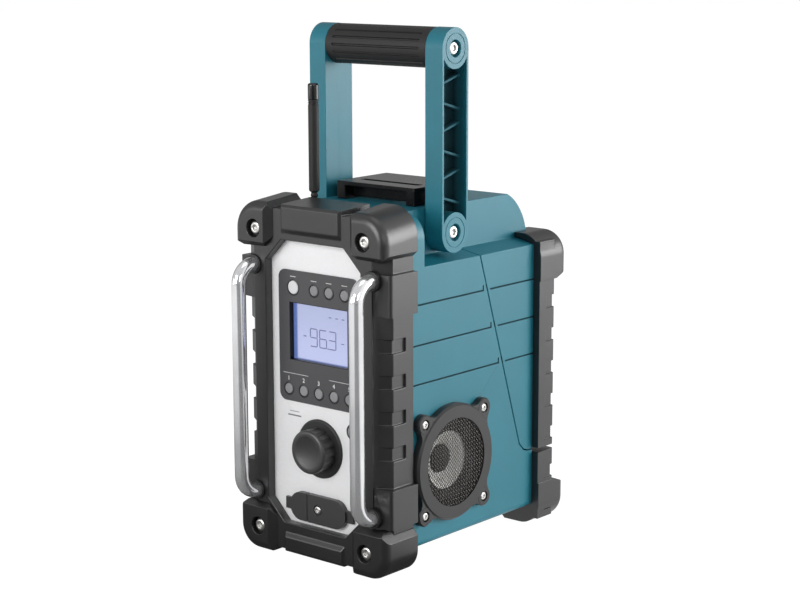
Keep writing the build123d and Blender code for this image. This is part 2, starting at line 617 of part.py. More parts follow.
def rear_upper(form):
    """Right rear column above the door's lower edge, with its bumper."""
    inner, low, high = rear_inner, rear_bumper_low, rear_bumper_high
    bumper = armour_block(rear_y, side_back_y, [
        (inner, low + rear_nick_low), (inner + rear_nick_low, low), (half_width, low),
        (half_width, high, rear_round), (inner + rear_nick, high), (inner, high - rear_nick)], 0,
        lambda c: c.Z > low + rear_slope and c.X > inner + rear_nick)
    bumper &= prism("x", inner, half_width, [
        (side_back_y, low), (column_back_y, low), (rear_y, low + rear_slope), (rear_y, high),
        (side_back_y, high)])
    bumper &= rear_flank(high)
    return (toothed_column(seam_end_z + split_gap / 2, high - column_drop) + bumper) - form


def rear_foot(form):
    """Right rear column below the door, with the foot it stands on."""
    inner, high = rear_inner, rear_foot_high
    foot = armour_block(rear_y, side_back_y, [
        (inner + rear_nick_low, 0), (half_width, 0, rear_round), (half_width, high),
        (inner + rear_nick_low, high), (inner, high - rear_nick_low), (inner, rear_nick_low)], 0,
        lambda c: c.Z < high - rear_slope and c.X > inner + rear_nick_low)
    foot &= prism("x", inner, half_width, [
        (side_back_y, 0), (rear_y, 0), (rear_y, high - rear_slope), (column_back_y, high),
        (side_back_y, high)])
    foot &= rear_flank(high)
    return (toothed_column(column_foot, seam_end_z - split_gap) + foot) - form


def rear_flank(high):
    """Plan of a rear bumper with its inner corner cut, as a tall prism."""
    return prism("z", 0, high, [(rear_inner, side_back_y), (half_width, side_back_y), (half_width, rear_y),
                                (rear_inner + rear_slope, rear_y), (rear_inner, rear_y - rear_slope)])


# ================================================================ controls
def front_panel():
    """Silver panel with holes for the bezel, the knob, a key, the socket and a screw."""
    reach, edge = panel_lap - fit, bezel_lip
    plate = block(-opening_half - reach, opening_half + reach, panel_y, panel_back_y,
                  opening_low - reach, opening_high + reach)
    plate -= block(-bezel_half + edge, bezel_half - edge, panel_y, panel_back_y,
                   bezel_low + edge, bezel_high - edge)
    for x, z, radius in ((0, knob_z, bushing_radius), (select_x, select_z, select_radius + button_fit),
                         (aux_jack_x, aux_z, jack_radius), (0, aux_z, aux_screw_hole)):
        plate -= rod("y", panel_y, panel_back_y, x, z, radius)
    return plate


def bezel_buttons():
    """Name, place and radius of every key in the bezel."""
    presets = [(f"preset_button_{i + 1}", (i - 2) * preset_pitch, preset_z, preset_radius) for i in range(5)]
    functions = [(f"function_button_{i + 1}", place * bezel_half, function_z, function_radius)
                 for i, place in enumerate(function_places)]
    return presets + functions + [("power_button", power_place * bezel_half, power_z, power_radius)]


def display_block(front, back, lip):
    """A block the size of the display, grown by a lip."""
    return block(-lcd_half - lip, lcd_half + lip, front, back, lcd_low - lip, lcd_high + lip)


def control_bezel():
    """Dark bezel with a rim on the panel and a boss through it, bored for the display and the keys."""
    outline = [(-bezel_half, bezel_low, bezel_round), (bezel_half, bezel_low, bezel_round),
               (bezel_half, bezel_high, bezel_round), (-bezel_half, bezel_high, bezel_round)]
    edge = bezel_lip
    solid = prism("y", bezel_y, panel_y, outline)
    solid += block(-bezel_half + edge, bezel_half - edge, panel_y - fit, bezel_back_y,
                   bezel_low + edge, bezel_high - edge)
    solid -= display_block(bezel_y, bezel_back_y, 0)
    solid -= display_block(glass_y, bezel_back_y, lcd_lip)
    for _, x, z, radius in bezel_buttons():
        solid -= rod("y", bezel_y, bezel_back_y, x, z, radius + button_fit)
        solid -= rod("y", bezel_y + button_depth, bezel_back_y, x, z, radius + button_flange + button_fit)
    return solid


def push_button(x, z, radius, face_y, seat_y):
    """Domed cap with a flange behind the bezel and a stem to its switch on the board."""
    cap = rod("y", face_y, seat_y + button_flange_thick, x, z, radius)
    cap = fillet(cap.edges().sort_by(Axis.Y)[0], button_edge)
    rim = rod("y", seat_y + flange_slip, seat_y + button_flange_thick, x, z, radius + button_flange)
    return cap + rim + rod("y", seat_y, board_y - travel - fit, x, z, stem_radius)


def control_board():
    """Board behind the bezel and the knob's encoder."""
    half = bezel_half + board_margin
    return block(-half, half, board_y, board_y + board_thick, knob_z - board_low, bezel_high + board_top)


def volume_knob():
    """Fluted knob with a bevelled rim and a shallow dish."""
    back = panel_y - flange_thick - slip
    knob = rod("y", knob_y, back, 0, knob_z, knob_radius)
    knob = chamfer(knob.edges().sort_by(Axis.Y)[0], knob_bevel)
    reach = knob_radius + flute_reach
    for index in range(knob_flutes):
        angle = 2 * math.pi * (index + 0.5) / knob_flutes
        x, z = reach * math.cos(angle), knob_z + reach * math.sin(angle)
        knob -= rod("y", knob_y, back, x, z, flute_radius)
    knob -= rod("y", knob_y, knob_y + dish_depth, 0, knob_z, dish_radius)
    return knob - rod("y", knob_y + shaft_cover, back, 0, knob_z, shaft_radius)


def knob_flange():
    """Bevelled ring on the panel behind the knob."""
    near = panel_y - flange_thick
    flange = rod("y", near, panel_y, 0, knob_z, flange_radius)
    flange = chamfer(flange.edges().sort_by(Axis.Y)[0], flange_bevel)
    return flange - rod("y", near, panel_y, 0, knob_z, bushing_radius)


def encoder_body():
    """Encoder on the board, with the bushing the knob's shaft turns in."""
    half = encoder_half
    case = block(-half, half, panel_back_y, board_y, knob_z - half, knob_z + half)
    case += rod("y", panel_y - flange_thick, panel_back_y + front_cut, 0, knob_z, bushing_radius)
    return case - rod("y", panel_y - flange_thick, board_y - encoder_wall + small_lap, 0, knob_z,
                      shaft_radius + running)


def aux_parts():
    """Rubber cover of the audio socket: a fixed part held by a screw, and a flap that swings out."""
    low, high, radius = aux_z - aux_half_height, aux_z + aux_half_height, aux_half_height - aux_corner
    tab = aux_half + aux_tab_length
    cover = prism("y", aux_y, panel_y, [(-aux_half, low, radius), (aux_half, low, radius),
                                        (aux_half, high, radius), (-aux_half, high, radius)])
    cover += block(-tab, tab, aux_y + aux_tab_setback, panel_y, aux_z - aux_tab_half, aux_z + aux_tab_half)
    flap = cover & block(-tab, aux_hinge_x, aux_y, panel_y, low, high)
    fixed = cover & block(aux_hinge_x + slip, tab, aux_y, panel_y, low, high)
    fixed -= rod("y", aux_y, panel_y, 0, aux_z, aux_screw_hole)
    fixed -= rod("y", aux_y, aux_y + aux_screw_sink, 0, aux_z, aux_screw_head + aux_screw_rim)
    return fixed, flap


def aux_screw():
    """Screw that holds the rubber cover."""
    seat = aux_y + aux_screw_sink
    head = rod("y", aux_y - aux_screw_proud, seat, 0, aux_z, aux_screw_head)
    head = fillet(head.edges().sort_by(Axis.Y)[0], aux_screw_edge)
    return head + rod("y", seat - small_lap, panel_back_y, 0, aux_z, aux_screw_hole)


def aux_jack():
    """Audio socket behind the flap."""
    back = panel_y + jack_length
    return (rod("y", panel_y, back + jack_end, aux_jack_x, aux_z, jack_radius)
            - rod("y", panel_y, back, aux_jack_x, aux_z, jack_bore))


# ================================================================ speakers
def ear_places():
    """Centres of the four ears of a speaker ring, as (y, z)."""
    offsets = (-ear_offset, ear_offset)
    return [(speaker_y + dy, speaker_z + dz) for dy in offsets for dz in offsets]


def speaker_ring():
    """Right speaker ring with four screw ears and a seat for the mesh."""
    ring = rod("x", side_half, ring_face, speaker_y, speaker_z, ring_radius)
    ring = chamfer(ring.edges().sort_by(Axis.X)[-1], ring_bevel)
    for y, z in ear_places():
        ear = rod("x", side_half, ring_face - ear_setback, y, z, ear_radius)
        ring += chamfer(ear.edges().sort_by(Axis.X)[-1], ear_bevel)
    ring -= rod("x", side_half, ring_face, speaker_y, speaker_z, mesh_radius - mesh_lap)
    ring -= rod("x", side_half, ring_face - mesh_depth, speaker_y, speaker_z, mesh_radius)
    for y, z in ear_places():
        ring -= rod("x", ring_face - ear_screw_sink, ring_face, y, z, ear_screw + ear_screw_rim)
        ring -= rod("x", side_half, ring_face, y, z, ear_screw_hole)
    return ring


def ring_screws():
    """The four screws of the right speaker ring."""
    seat = ring_face - ear_screw_sink
    screws = []
    for y, z in ear_places():
        head = rod("x", seat, seat + ear_screw_head, y, z, ear_screw)
        head = fillet(head.edges().sort_by(Axis.X)[-1], ear_bevel)
        screws.append(head + rod("x", side_half, seat + head_lap, y, z, ear_screw_hole))
    return screws


def speaker_inside():
    """Basket, cone and magnet of the right driver, behind the housing wall."""
    rim = side_half - wall
    throat, length = rim - cone_depth, cone_depth - cone_paper
    flare = (cone_radius - cone_throat) / length

    def frustum(start, small, long):
        """A cone that widens outwards from a start, with the speaker cone's own flare."""
        place = Plane(origin=(start, speaker_y, speaker_z), z_dir=(1, 0, 0))
        return place * Pos(0, 0, long / 2) * Cone(small, small + flare * long, long)

    basket = frustum(throat, cone_throat + basket_wall + basket_gap, length)
    basket += rod("x", rim - basket_flange, rim, speaker_y, speaker_z, basket_radius)
    basket -= frustum(throat, cone_throat + basket_gap, cone_depth)
    face = throat + cone_paper
    cone = frustum(throat, cone_throat, length) - frustum(face, cone_throat - cone_paper, length)
    bulge = (cap_radius ** 2 + cap_height ** 2) / (2 * cap_height)
    cap = Pos(face + cap_height - bulge, speaker_y, speaker_z) * (Rot(0, 90, 0) * Sphere(bulge))
    cap &= block(throat + cone_paper / 2, rim, speaker_y - cone_radius, speaker_y + cone_radius,
                 speaker_z - cone_radius, speaker_z + cone_radius)
    magnet = rod("x", throat - magnet_length, throat, speaker_y, speaker_z, magnet_radius)
    return basket, cone + cap, magnet


# ================================================================ handle
def handle_arm():
    """Right-hand arm: a long stadium with a ribbed pocket in its outer face and a boss at each end."""
    arm = block(arm_in, arm_out, pivot_y - arm_radius, pivot_y + arm_radius, pivot_z, grip_z)
    reach, floor = arm_radius - pocket_wall, arm_out - pocket_depth
    pocket = block(floor, arm_out, pivot_y - reach, pivot_y + reach, pivot_z, grip_z)
    for z in (pivot_z, grip_z):
        arm += rod("x", arm_in, arm_out, pivot_y, z, arm_radius)
        pocket -= rod("x", floor, arm_out, pivot_y, z, boss_radius)
    arm -= pocket
    span = grip_z - pivot_z - 2 * boss_radius
    for index in range(rib_count):
        z = pivot_z + boss_radius + span * (index + 0.5) / rib_count
        tilt = rib_tilt if index % 2 else -rib_tilt
        low, high = z - rib_thick / 2, z + rib_thick / 2
        arm += prism("x", floor - rib_root, arm_out - rib_drop,
                     [(pivot_y - reach, low - tilt), (pivot_y + reach, low + tilt),
                      (pivot_y + reach, high + tilt), (pivot_y - reach, high - tilt)])
    for z, bore in ((pivot_z, pivot_shank + running), (grip_z, grip_screw)):
        arm -= (rod("x", arm_out - groove_cut, arm_out, pivot_y, z, boss_groove + groove_cut / 2)
                - rod("x", arm_out - groove_cut, arm_out, pivot_y, z, boss_groove - groove_cut / 2))
        arm -= rod("x", arm_out - recess_depth, arm_out, pivot_y, z, pivot_recess)
        arm -= rod("x", arm_in, arm_out, pivot_y, z, bore)
    return arm


def handle_grip():
    """Rubber sleeve with long narrow slots round the middle."""
    grip = rod("x", -arm_in, arm_in, pivot_y, grip_z, grip_radius)
    slot = Pos(0, grip_radius, 0) * Box(2 * (arm_in - slot_end), 2 * slot_depth, slot_width)
    for index in range(grip_slots):
        grip -= Pos(0, pivot_y, grip_z) * (Rot(360 * index / grip_slots, 0, 0) * slot)
    return grip - rod("x", -arm_in, arm_in, pivot_y, grip_z, tube_radius)


def handle_tube():
    """Tube inside the sleeve, bored at both ends for the arms' screws."""
    tube = rod("x", -arm_in, arm_in, pivot_y, grip_z, tube_radius)
    return cut_both(tube, rod("x", arm_in - grip_screw_reach, arm_in, pivot_y, grip_z, grip_screw))


def side_screw(z, shank, end):
    """Screw with its head in the right arm's recess, reaching inwards to an end."""
    seat = arm_out - recess_depth
    face = seat + side_head
    head = rod("x", seat, face, pivot_y, z, pivot_head)
    head = fillet(head.edges().sort_by(Axis.X)[-1], side_head_edge)
    socket = extrude(RegularPolygon(socket_radius, 6), amount=side_socket)
    head -= Pos(face - side_socket, pivot_y, z) * (Rot(0, 90, 0) * socket)
    return head + rod("x", end, seat + head_lap, pivot_y, z, shank)


# ================================================================ latch, antenna, battery, inside
def battery_latch():
    """Lever on the top: a slotted plate on two legs, with a wall across that closes the finger recess."""
    low, under = latch_high - latch_plate, top_z + slip
    latch = prism("z", low, latch_high, [
        (-latch_front_half, latch_front_y), (latch_front_half, latch_front_y),
        (latch_back_half, latch_back_y), (-latch_back_half, latch_back_y)])
    slot_y = latch_front_y + latch_slot_back
    latch -= block(-latch_slot_half, latch_slot_half, slot_y - latch_slot_width / 2,
                   slot_y + latch_slot_width / 2, low, latch_high)
    wall_y = latch_front_y + latch_wall_back
    latch += block(-latch_gap_half, latch_gap_half, wall_y, wall_y + latch_wall,
                   top_z + latch_wall_foot, low)
    near, far = latch_gap_half, latch_front_half
    leg = block(near, far, latch_front_y, latch_pivot_y, under, low)
    leg += rod("x", near, far, latch_pivot_y, latch_pivot_z, latch_pivot_z - under)
    leg += block(near, far, latch_pivot_y - latch_knuckle, latch_pivot_y + latch_knuckle, latch_pivot_z, low)
    leg -= rod("x", near, far, latch_pivot_y, latch_pivot_z, latch_pin + running)
    latch += leg
    return latch + mirrored(leg)


def antenna():
    """Flexible rod on a ball foot, and its cap."""
    foot = antenna_pivot_z + antenna_taper
    flexible = rod("z", foot, antenna_high - antenna_cap, antenna_x, antenna_y, antenna_radius)
    flexible += (Pos(antenna_x, antenna_y, antenna_pivot_z + antenna_taper / 2)
                 * Cone(antenna_neck, antenna_radius, antenna_taper))
    flexible += Pos(antenna_x, antenna_y, antenna_pivot_z) * Sphere(antenna_ball)
    cap = rod("z", antenna_high - antenna_cap, antenna_high, antenna_x, antenna_y, antenna_radius + cap_step)
    return flexible, fillet(cap.edges().sort_by(Axis.Z)[-1], cap_edge)


def dc_jack():
    """Power socket in the back wall."""
    return (rod("y", back_y - wall - dc_length, back_y, dc_x, dc_z, dc_radius)
            - rod("y", back_y - dc_length, back_y, dc_x, dc_z, dc_bore))


def save_shell():
    """Housing, door, frame, corner pieces and guard bars."""
    form, inner = body_form(0), body_form(wall)
    inner += block(-side_half + wall, side_half - wall, frame_back_y - front_cut, frame_back_y + front_cut,
                   housing_low + wall, top_z - top_round)
    save("main_housing", main_housing(form, inner))
    save("battery_door", battery_door(form, inner))
    frame = frame_form()
    save("front_frame", front_frame(frame))
    save("front_bumpers_upper", both(upper_bumper() - frame))
    save("front_bumpers_lower", both(lower_bumper() - frame))
    save("front_bumper_screws", both(bumper_screw(screw_low_z)), both(bumper_screw(screw_high_z)))
    save("rear_bumpers", both(rear_upper(form)))
    save("rear_feet", both(rear_foot(form)))
    save("guard_bar_right", guard_bar())
    save("guard_bar_left", mirrored(guard_bar()))
    save("guard_bar_grommets", both(grommet(bar_low_z)), both(grommet(bar_high_z)))


def save_controls():
    """Panel, display, keys, knob, socket cover and their boards."""
    save("front_panel", front_panel())
    save("control_bezel", control_bezel())
    save("lcd_window", display_block(glass_y, glass_y + lcd_glass, lcd_lip))
    save("lcd_module", display_block(glass_y + lcd_glass, board_y, lcd_lip))
    save("control_board", control_board())
    for name, x, z, radius in bezel_buttons():
        save(name, push_button(x, z, radius, bezel_y - button_proud, bezel_y + button_depth))
    save("select_button", push_button(select_x, select_z, select_radius,
                                      panel_y - button_proud - select_proud, panel_back_y))
    save("volume_knob", volume_knob())
    save("encoder_shaft", rod("y", knob_y + shaft_cover, board_y - encoder_wall, 0, knob_z, shaft_radius))
    save("encoder_body", encoder_body())
    save("knob_flange", knob_flange())
    fixed, flap = aux_parts()
    save("aux_cover", fixed)
    save("aux_flap", flap)
    save("aux_cover_screw", aux_screw())
    save("aux_jack", aux_jack())


def save_speakers():
    """Rings, meshes, screws and drivers of both speakers."""
    ring, mesh_y = speaker_ring(), ring_face - mesh_depth
    mesh = rod("x", mesh_y - mesh_thick, mesh_y, speaker_y, speaker_z, mesh_radius)
    save("speaker_ring_right", ring)
    save("speaker_ring_left", mirrored(ring))
    save("speaker_mesh_right", mesh)
    save("speaker_mesh_left", mirrored(mesh))
    save("speaker_ring_screws", *[both(screw) for screw in ring_screws()])
    basket, cone, magnet = speaker_inside()
    save("speaker_baskets", both(basket))
    save("speaker_cones", both(cone))
    save("speaker_magnets", both(magnet))


def save_top_and_inside():
    """Handle, latch, antenna, battery and the pieces inside the housing."""
    arm = handle_arm()
    save("handle_arm_right", arm)
    save("handle_arm_left", mirrored(arm))
    save("handle_grip", handle_grip())
    save("handle_tube", handle_tube())
    save("handle_grip_screws", both(side_screw(grip_z, grip_screw, arm_in - grip_screw_reach)))
    save("handle_pivot_bolts", both(side_screw(pivot_z, pivot_shank, hump_half - pivot_seat)))
    save("battery_latch", battery_latch())
    pin_half = latch_front_half - pin_end
    save("latch_pin", rod("x", -pin_half, pin_half, latch_pivot_y, latch_pivot_z, latch_pin))
    save("door_hinge_pin", rod("x", knuckle_edges[0] + pin_end, knuckle_edges[-1] - pin_end,
                               hinge_y, hinge_z, hinge_pin))
    flexible, cap = antenna()
    save("antenna_rod", flexible)
    save("antenna_cap", cap)
    save("antenna_mount", rod("z", top_z - wall, antenna_pivot_z - antenna_ball - fit,
                              antenna_x, antenna_y, antenna_base))
    pack = block(-pack_half, pack_half, pack_front_y, pack_back_y, pack_low, pack_high)
    save("battery_pack", fillet(pack.edges().filter_by(Axis.Z), pack_round))
    save("battery_terminal", block(-terminal_half, terminal_half,
                                   pack_front_y - terminal_thick, pack_front_y,
                                   pack_low + terminal_margin[0], pack_high - terminal_margin[1]))
    save("main_board", block(-pcb_half, pcb_half, pcb_front_y, pcb_front_y + pcb_length,
                             pcb_z, pcb_z + board_thick))
    save("dc_jack", dc_jack())


def main():
    """Write every sub-part."""
    save_shell()
    save_controls()
    save_speakers()
    save_top_and_inside()


main()
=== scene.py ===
"""Jobsite radio: the finished look of every piece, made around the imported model.

Lengths are written in millimetres in the model's own frame, and MM turns them into metres.
"""

from __future__ import annotations

import json
import logging
import math
from dataclasses import dataclass
from enum import Enum
from typing import ClassVar, Iterable, Sequence

import bmesh
import bpy
import numpy as np
from mathutils import Matrix, Vector

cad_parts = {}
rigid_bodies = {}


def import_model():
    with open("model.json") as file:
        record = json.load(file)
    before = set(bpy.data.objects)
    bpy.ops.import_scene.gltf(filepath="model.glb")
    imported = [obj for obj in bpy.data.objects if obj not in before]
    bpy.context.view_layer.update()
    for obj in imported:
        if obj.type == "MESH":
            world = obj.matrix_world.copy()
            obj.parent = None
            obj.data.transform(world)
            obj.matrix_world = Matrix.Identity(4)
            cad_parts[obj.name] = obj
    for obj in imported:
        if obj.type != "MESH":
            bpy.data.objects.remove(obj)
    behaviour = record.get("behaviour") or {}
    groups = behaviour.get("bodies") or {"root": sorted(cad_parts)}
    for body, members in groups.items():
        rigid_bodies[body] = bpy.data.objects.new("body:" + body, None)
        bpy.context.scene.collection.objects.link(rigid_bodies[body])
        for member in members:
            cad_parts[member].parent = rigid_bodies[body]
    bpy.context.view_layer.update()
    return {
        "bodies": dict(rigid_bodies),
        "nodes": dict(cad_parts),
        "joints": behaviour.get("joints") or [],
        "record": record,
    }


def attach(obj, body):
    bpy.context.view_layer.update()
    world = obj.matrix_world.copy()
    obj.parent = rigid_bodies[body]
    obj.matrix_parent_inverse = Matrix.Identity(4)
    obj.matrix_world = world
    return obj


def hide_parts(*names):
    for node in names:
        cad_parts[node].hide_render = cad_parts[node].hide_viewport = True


MM = 0.001
TAU = 2 * math.pi
log = logging.getLogger("jobsite_radio")


# ------------------------------------------------------------------ shader maths
class Wire:
    """A shader output whose arithmetic adds Math nodes."""

    def __init__(self, graph: Graph, socket: bpy.types.NodeSocket) -> None:
        """Keep the graph and the socket.

        Args:
            graph: The node tree that the socket belongs to.
            socket: The output socket that carries the value.
        """
        self.graph = graph
        self.socket = socket

    def _math(self, operation: str, *values: Wire | float) -> Wire:
        """One Math node.

        Args:
            operation: Blender's name for the operation.
            values: The operands in order.

        Returns:
            The node's output.
        """
        node = self.graph.node("ShaderNodeMath", {"operation": operation}, dict(enumerate(values)))
        return Wire(self.graph, node.outputs[0])

    def __add__(self, other: Wire | float) -> Wire:
        """This value plus another."""
        return self._math("ADD", self, other)

    def __sub__(self, other: Wire | float) -> Wire:
        """This value less another."""
        return self._math("SUBTRACT", self, other)

    def __rsub__(self, other: float) -> Wire:
        """A number less this value."""
        return self._math("SUBTRACT", other, self)

    def __mul__(self, other: Wire | float) -> Wire:
        """This value times another."""
        return self._math("MULTIPLY", self, other)

    __radd__ = __add__
    __rmul__ = __mul__

    def absolute(self) -> Wire:
        """The value without its sign."""
        return self._math("ABSOLUTE", self)

    def largest(self, other: Wire | float) -> Wire:
        """The greater of two values."""
        return self._math("MAXIMUM", self, other)

    def step(self, low: float, high: float) -> Wire:
        """A smooth step.

        Args:
            low: Where the step is nought.
            high: Where the step is one.

        Returns:
            A value from nought to one.
        """
        node = self.graph.node(
            "ShaderNodeMapRange",
            {"interpolation_type": "SMOOTHSTEP"},
            {"Value": self, "From Min": low, "From Max": high},
        )
        return Wire(self.graph, node.outputs["Result"])


class Graph:
    """The node tree of one material or of the world."""

    def __init__(self, tree: bpy.types.NodeTree) -> None:
        """Empty the tree.

        Args:
            tree: The node tree to fill.
        """
        self.tree = tree
        tree.nodes.clear()

    def node(self, kind: str, settings: dict | None = None, inputs: dict | None = None) -> bpy.types.Node:
        """Add any node.

        Args:
            kind: The node's type.
            settings: Its properties, set before the inputs.
            inputs: A value or a Wire for each input, by name or by place.

        Returns:
            The new node.
        """
        made = self.tree.nodes.new(kind)
        for key, value in (settings or {}).items():
            setattr(made, key, value)
        for key, value in (inputs or {}).items():
            socket = made.inputs[key]
            if isinstance(value, Wire):
                self.tree.links.new(value.socket, socket)
            else:
                socket.default_value = value
        return made

    def place(self) -> Wire:
        """The object coordinates of the surface, in metres."""
        return Wire(self, self.node("ShaderNodeTexCoord").outputs["Object"])

    def parts(self, vector: Wire, names: str) -> list[Wire]:
        """The parts of a vector that are named, from X, Y and Z."""
        outputs = self.node("ShaderNodeSeparateXYZ", None, {0: vector}).outputs
        return [Wire(self, outputs[name]) for name in names]

    def axis(self, name: str) -> Wire:
        """One object coordinate, named X, Y or Z."""
        return self.parts(self.place(), name)[0]

    def rays(self, *kinds: str) -> list[Wire]:
        """For each kind of ray, one where the ray is of that kind and else nought."""
        outputs = self.node("ShaderNodeLightPath").outputs
        return [Wire(self, outputs[f"Is {kind} Ray"]) for kind in kinds]

    def noise(self, scale: float, detail: float = 2.0, stretch: Sequence[float] = (1, 1, 1)) -> Wire:
        """Fractal noise on object coordinates.

        Args:
            scale: Cells to the metre.
            detail: Octaves.
            stretch: How much finer it is along each axis.

        Returns:
            A value near one half.
        """
        spread = self.node("ShaderNodeMapping", None, {"Vector": self.place(), "Scale": stretch})
        place = Wire(self, spread.outputs[0])
        node = self.node("ShaderNodeTexNoise", None, {"Vector": place, "Scale": scale, "Detail": detail})
        return Wire(self, node.outputs["Fac"])

    def tint(self, factor: Wire | float, first: Wire | Colour, second: Wire | Colour) -> Wire:
        """Mix two colours.

        Args:
            factor: Nought for the first and one for the second.
            first: Red, green and blue, or a Wire.
            second: Red, green and blue, or a Wire.

        Returns:
            The mixed colour.
        """
        ends = [c if isinstance(c, Wire) else (*c, 1.0) for c in (first, second)]
        node = self.node("ShaderNodeMix", {"data_type": "RGBA"}, {0: factor, 6: ends[0], 7: ends[1]})
        return Wire(self, node.outputs[2])

    def bump(self, height: Wire, reach: float) -> Wire:
        """The normal bent by a height, where a height of one is worth this reach in metres."""
        node = self.node("ShaderNodeBump", None, {"Height": height, "Distance": reach, "Strength": 1.0})
        return Wire(self, node.outputs[0])

    def surface(self, inputs: dict) -> None:
        """End the tree in one principled shader with these inputs."""
        shader = self.node("ShaderNodeBsdfPrincipled", None, inputs)
        self.node("ShaderNodeOutputMaterial", None, {"Surface": Wire(self, shader.outputs[0])})


# ------------------------------------------------------------------ finishes
Colour = tuple[float, float, float]
Span = tuple[float, float]
BLACK = (0.0, 0.0, 0.0)
WHITE = (1.0, 1.0, 1.0, 1.0)
CLOUD_EDGE = (0.3, 0.7)

# Sizes that a finish shares with the piece that wears it: half the display's width, the height of its
# lower edge, and the place of the handle's arms along the radio.
DISPLAY_HALF = 31.6
DISPLAY_FOOT = 165.0
HANDLE_Y = -11.85


class Finish:
    """A surface finish, whose material is made once.

    Attributes:
        name: The material's name.
        slot: The record's material slot.
    """

    name: str
    slot: str

    def material(self) -> bpy.types.Material:
        """The finish's material, made at its first use."""
        made = bpy.data.materials.get(self.name)
        if made is None:
            made = bpy.data.materials.new(self.name)
            made.use_nodes = True
            self.paint(Graph(made.node_tree))
        return made

    def paint(self, graph: Graph) -> None:
        """Fill the material's node tree.

        Args:
            graph: The tree to fill.
        """
        raise NotImplementedError


@dataclass(frozen=True)
class PaintedShadeHollow:
    """A narrow groove or a deep pocket whose base colour is darkened towards black as painted shade, alike on
    both sides.

    Attributes:
        floor: X of its floor, less a little.
        mouth: X where the darkening starts to fade, and X where it ends.
        y: Its middle and half its length along the radio.
        z: Its middle and half its height.
        painted_shade: The share of the colour taken away in it as painted shade.
        onset: How far below the floor the darkening starts.
        fade: How far past its ends the darkening fades.
    """

    floor: float
    mouth: Span
    y: Span
    z: Span
    painted_shade: float
    onset: float = 0.2
    fade: float = 0.3

    def share(self, graph: Graph) -> Wire:
        """How much of the colour is taken away as painted shade at each place: smooth steps along X, Y and Z,
        multiplied.

        Args:
            graph: The material's tree.

        Returns:
            Nought outside it, and its painted shade inside.
        """
        x = graph.axis("X").absolute()
        deep = x.step((self.floor - self.onset) * MM, self.floor * MM)
        share = deep * (1.0 - x.step(self.mouth[0] * MM, self.mouth[1] * MM))
        for axis, (middle, half) in (("Y", self.y), ("Z", self.z)):
            away = (graph.axis(axis) - middle * MM).absolute()
            share = share * (1.0 - away.step(half * MM, (half + self.fade) * MM))
        return share * self.painted_shade


@dataclass(frozen=True)
class Moulding(Finish):
    """Moulded plastic or rubber: a fine spark-eroded grain with faint cloudiness, and painted shade in its
    hollows.

    Attributes:
        colour: Its base colour.
        roughness: Its mean roughness.
        grain: Grain cells to the metre.
        relief: Height of the grain in metres.
        tone: How far the colour drifts over the piece.
        gloss: Specular level.
        coat: Weight of a clear outer gloss.
        hollows: Grooves and pockets whose colour is darkened as painted shade.
        clouds: Clouds of the colour to the metre.
        grain_dulling: How far the grain changes the roughness.
        cloud_dulling: How far the clouds change it.
        hollow_dulling: How far a hollow raises it.
        coat_roughness: Roughness of the outer gloss.
    """

    name: str
    slot: str
    colour: Colour
    roughness: float = 0.45
    grain: float = 2600.0
    relief: float = 0.00005
    tone: float = 0.08
    gloss: float = 0.5
    coat: float = 0.0
    hollows: tuple[PaintedShadeHollow, ...] = ()
    clouds: float = 22.0
    grain_dulling: float = 0.10
    cloud_dulling: float = 0.12
    hollow_dulling: float = 0.6
    coat_roughness: float = 0.25

    def paint(self, graph: Graph) -> None:
        """Grain in the normal, drift in the colour and a little of both in the roughness; painted shade
        darkens the colour in the hollows, which also raise the roughness.
        """
        grain = graph.noise(self.grain, 3.0)
        cloud = graph.noise(self.clouds, 3.0)
        light = tuple(min(1.0, c * (1 + self.tone)) for c in self.colour)
        dark = tuple(c * (1 - self.tone) for c in self.colour)
        rough = self.roughness + (grain - 0.5) * self.grain_dulling + (cloud - 0.5) * self.cloud_dulling
        colour = graph.tint(cloud.step(*CLOUD_EDGE), dark, light)
        # Painted shade: each hollow mixes the colour towards black where grooves and pockets would lie in
        # shade.
        for hollow in self.hollows:
            share = hollow.share(graph)
            colour = graph.tint(share, colour, BLACK)
            rough = rough + share * self.hollow_dulling
        graph.surface({
            "Base Color": colour,
            "Roughness": rough,
            "Specular IOR Level": self.gloss,
            "Coat Weight": self.coat,
            "Coat Roughness": self.coat_roughness,
            "Normal": graph.bump(grain, self.relief),
        })


@dataclass(frozen=True)
class Metal(Finish):
    """Bare or plated metal with faint polishing marks.

    Attributes:
        colour: Its reflectance.
        roughness: Its mean roughness.
        marks: Polishing marks to the metre.
        stretch: How the marks run along each axis.
        relief: Height of the marks in metres.
        metallic: Share of the surface that is bare metal; the rest is pale haze.
        clouds: Clouds of the tone to the metre.
        dulling: How far the marks change the roughness, as a share of it.
    """

    name: str
    slot: str
    colour: Colour
    roughness: float = 0.2
    marks: float = 900.0
    stretch: tuple[float, float, float] = (1.0, 1.0, 1.0)
    relief: float = 0.00001
    metallic: float = 1.0
    clouds: float = 35.0
    dulling: float = 0.6

    def paint(self, graph: Graph) -> None:
        """Marks in the roughness and the normal, and slight clouding of the tone."""
        marks = graph.noise(self.marks, 4.0, self.stretch)
        cloud = graph.noise(self.clouds, 2.0)
        dull = tuple(c * 0.9 for c in self.colour)
        graph.surface({
            "Base Color": graph.tint(cloud.step(*CLOUD_EDGE), dull, self.colour),
            "Metallic": self.metallic,
            "Roughness": self.roughness + (marks - 0.5) * self.roughness * self.dulling,
            "Normal": graph.bump(marks, self.relief),
        })


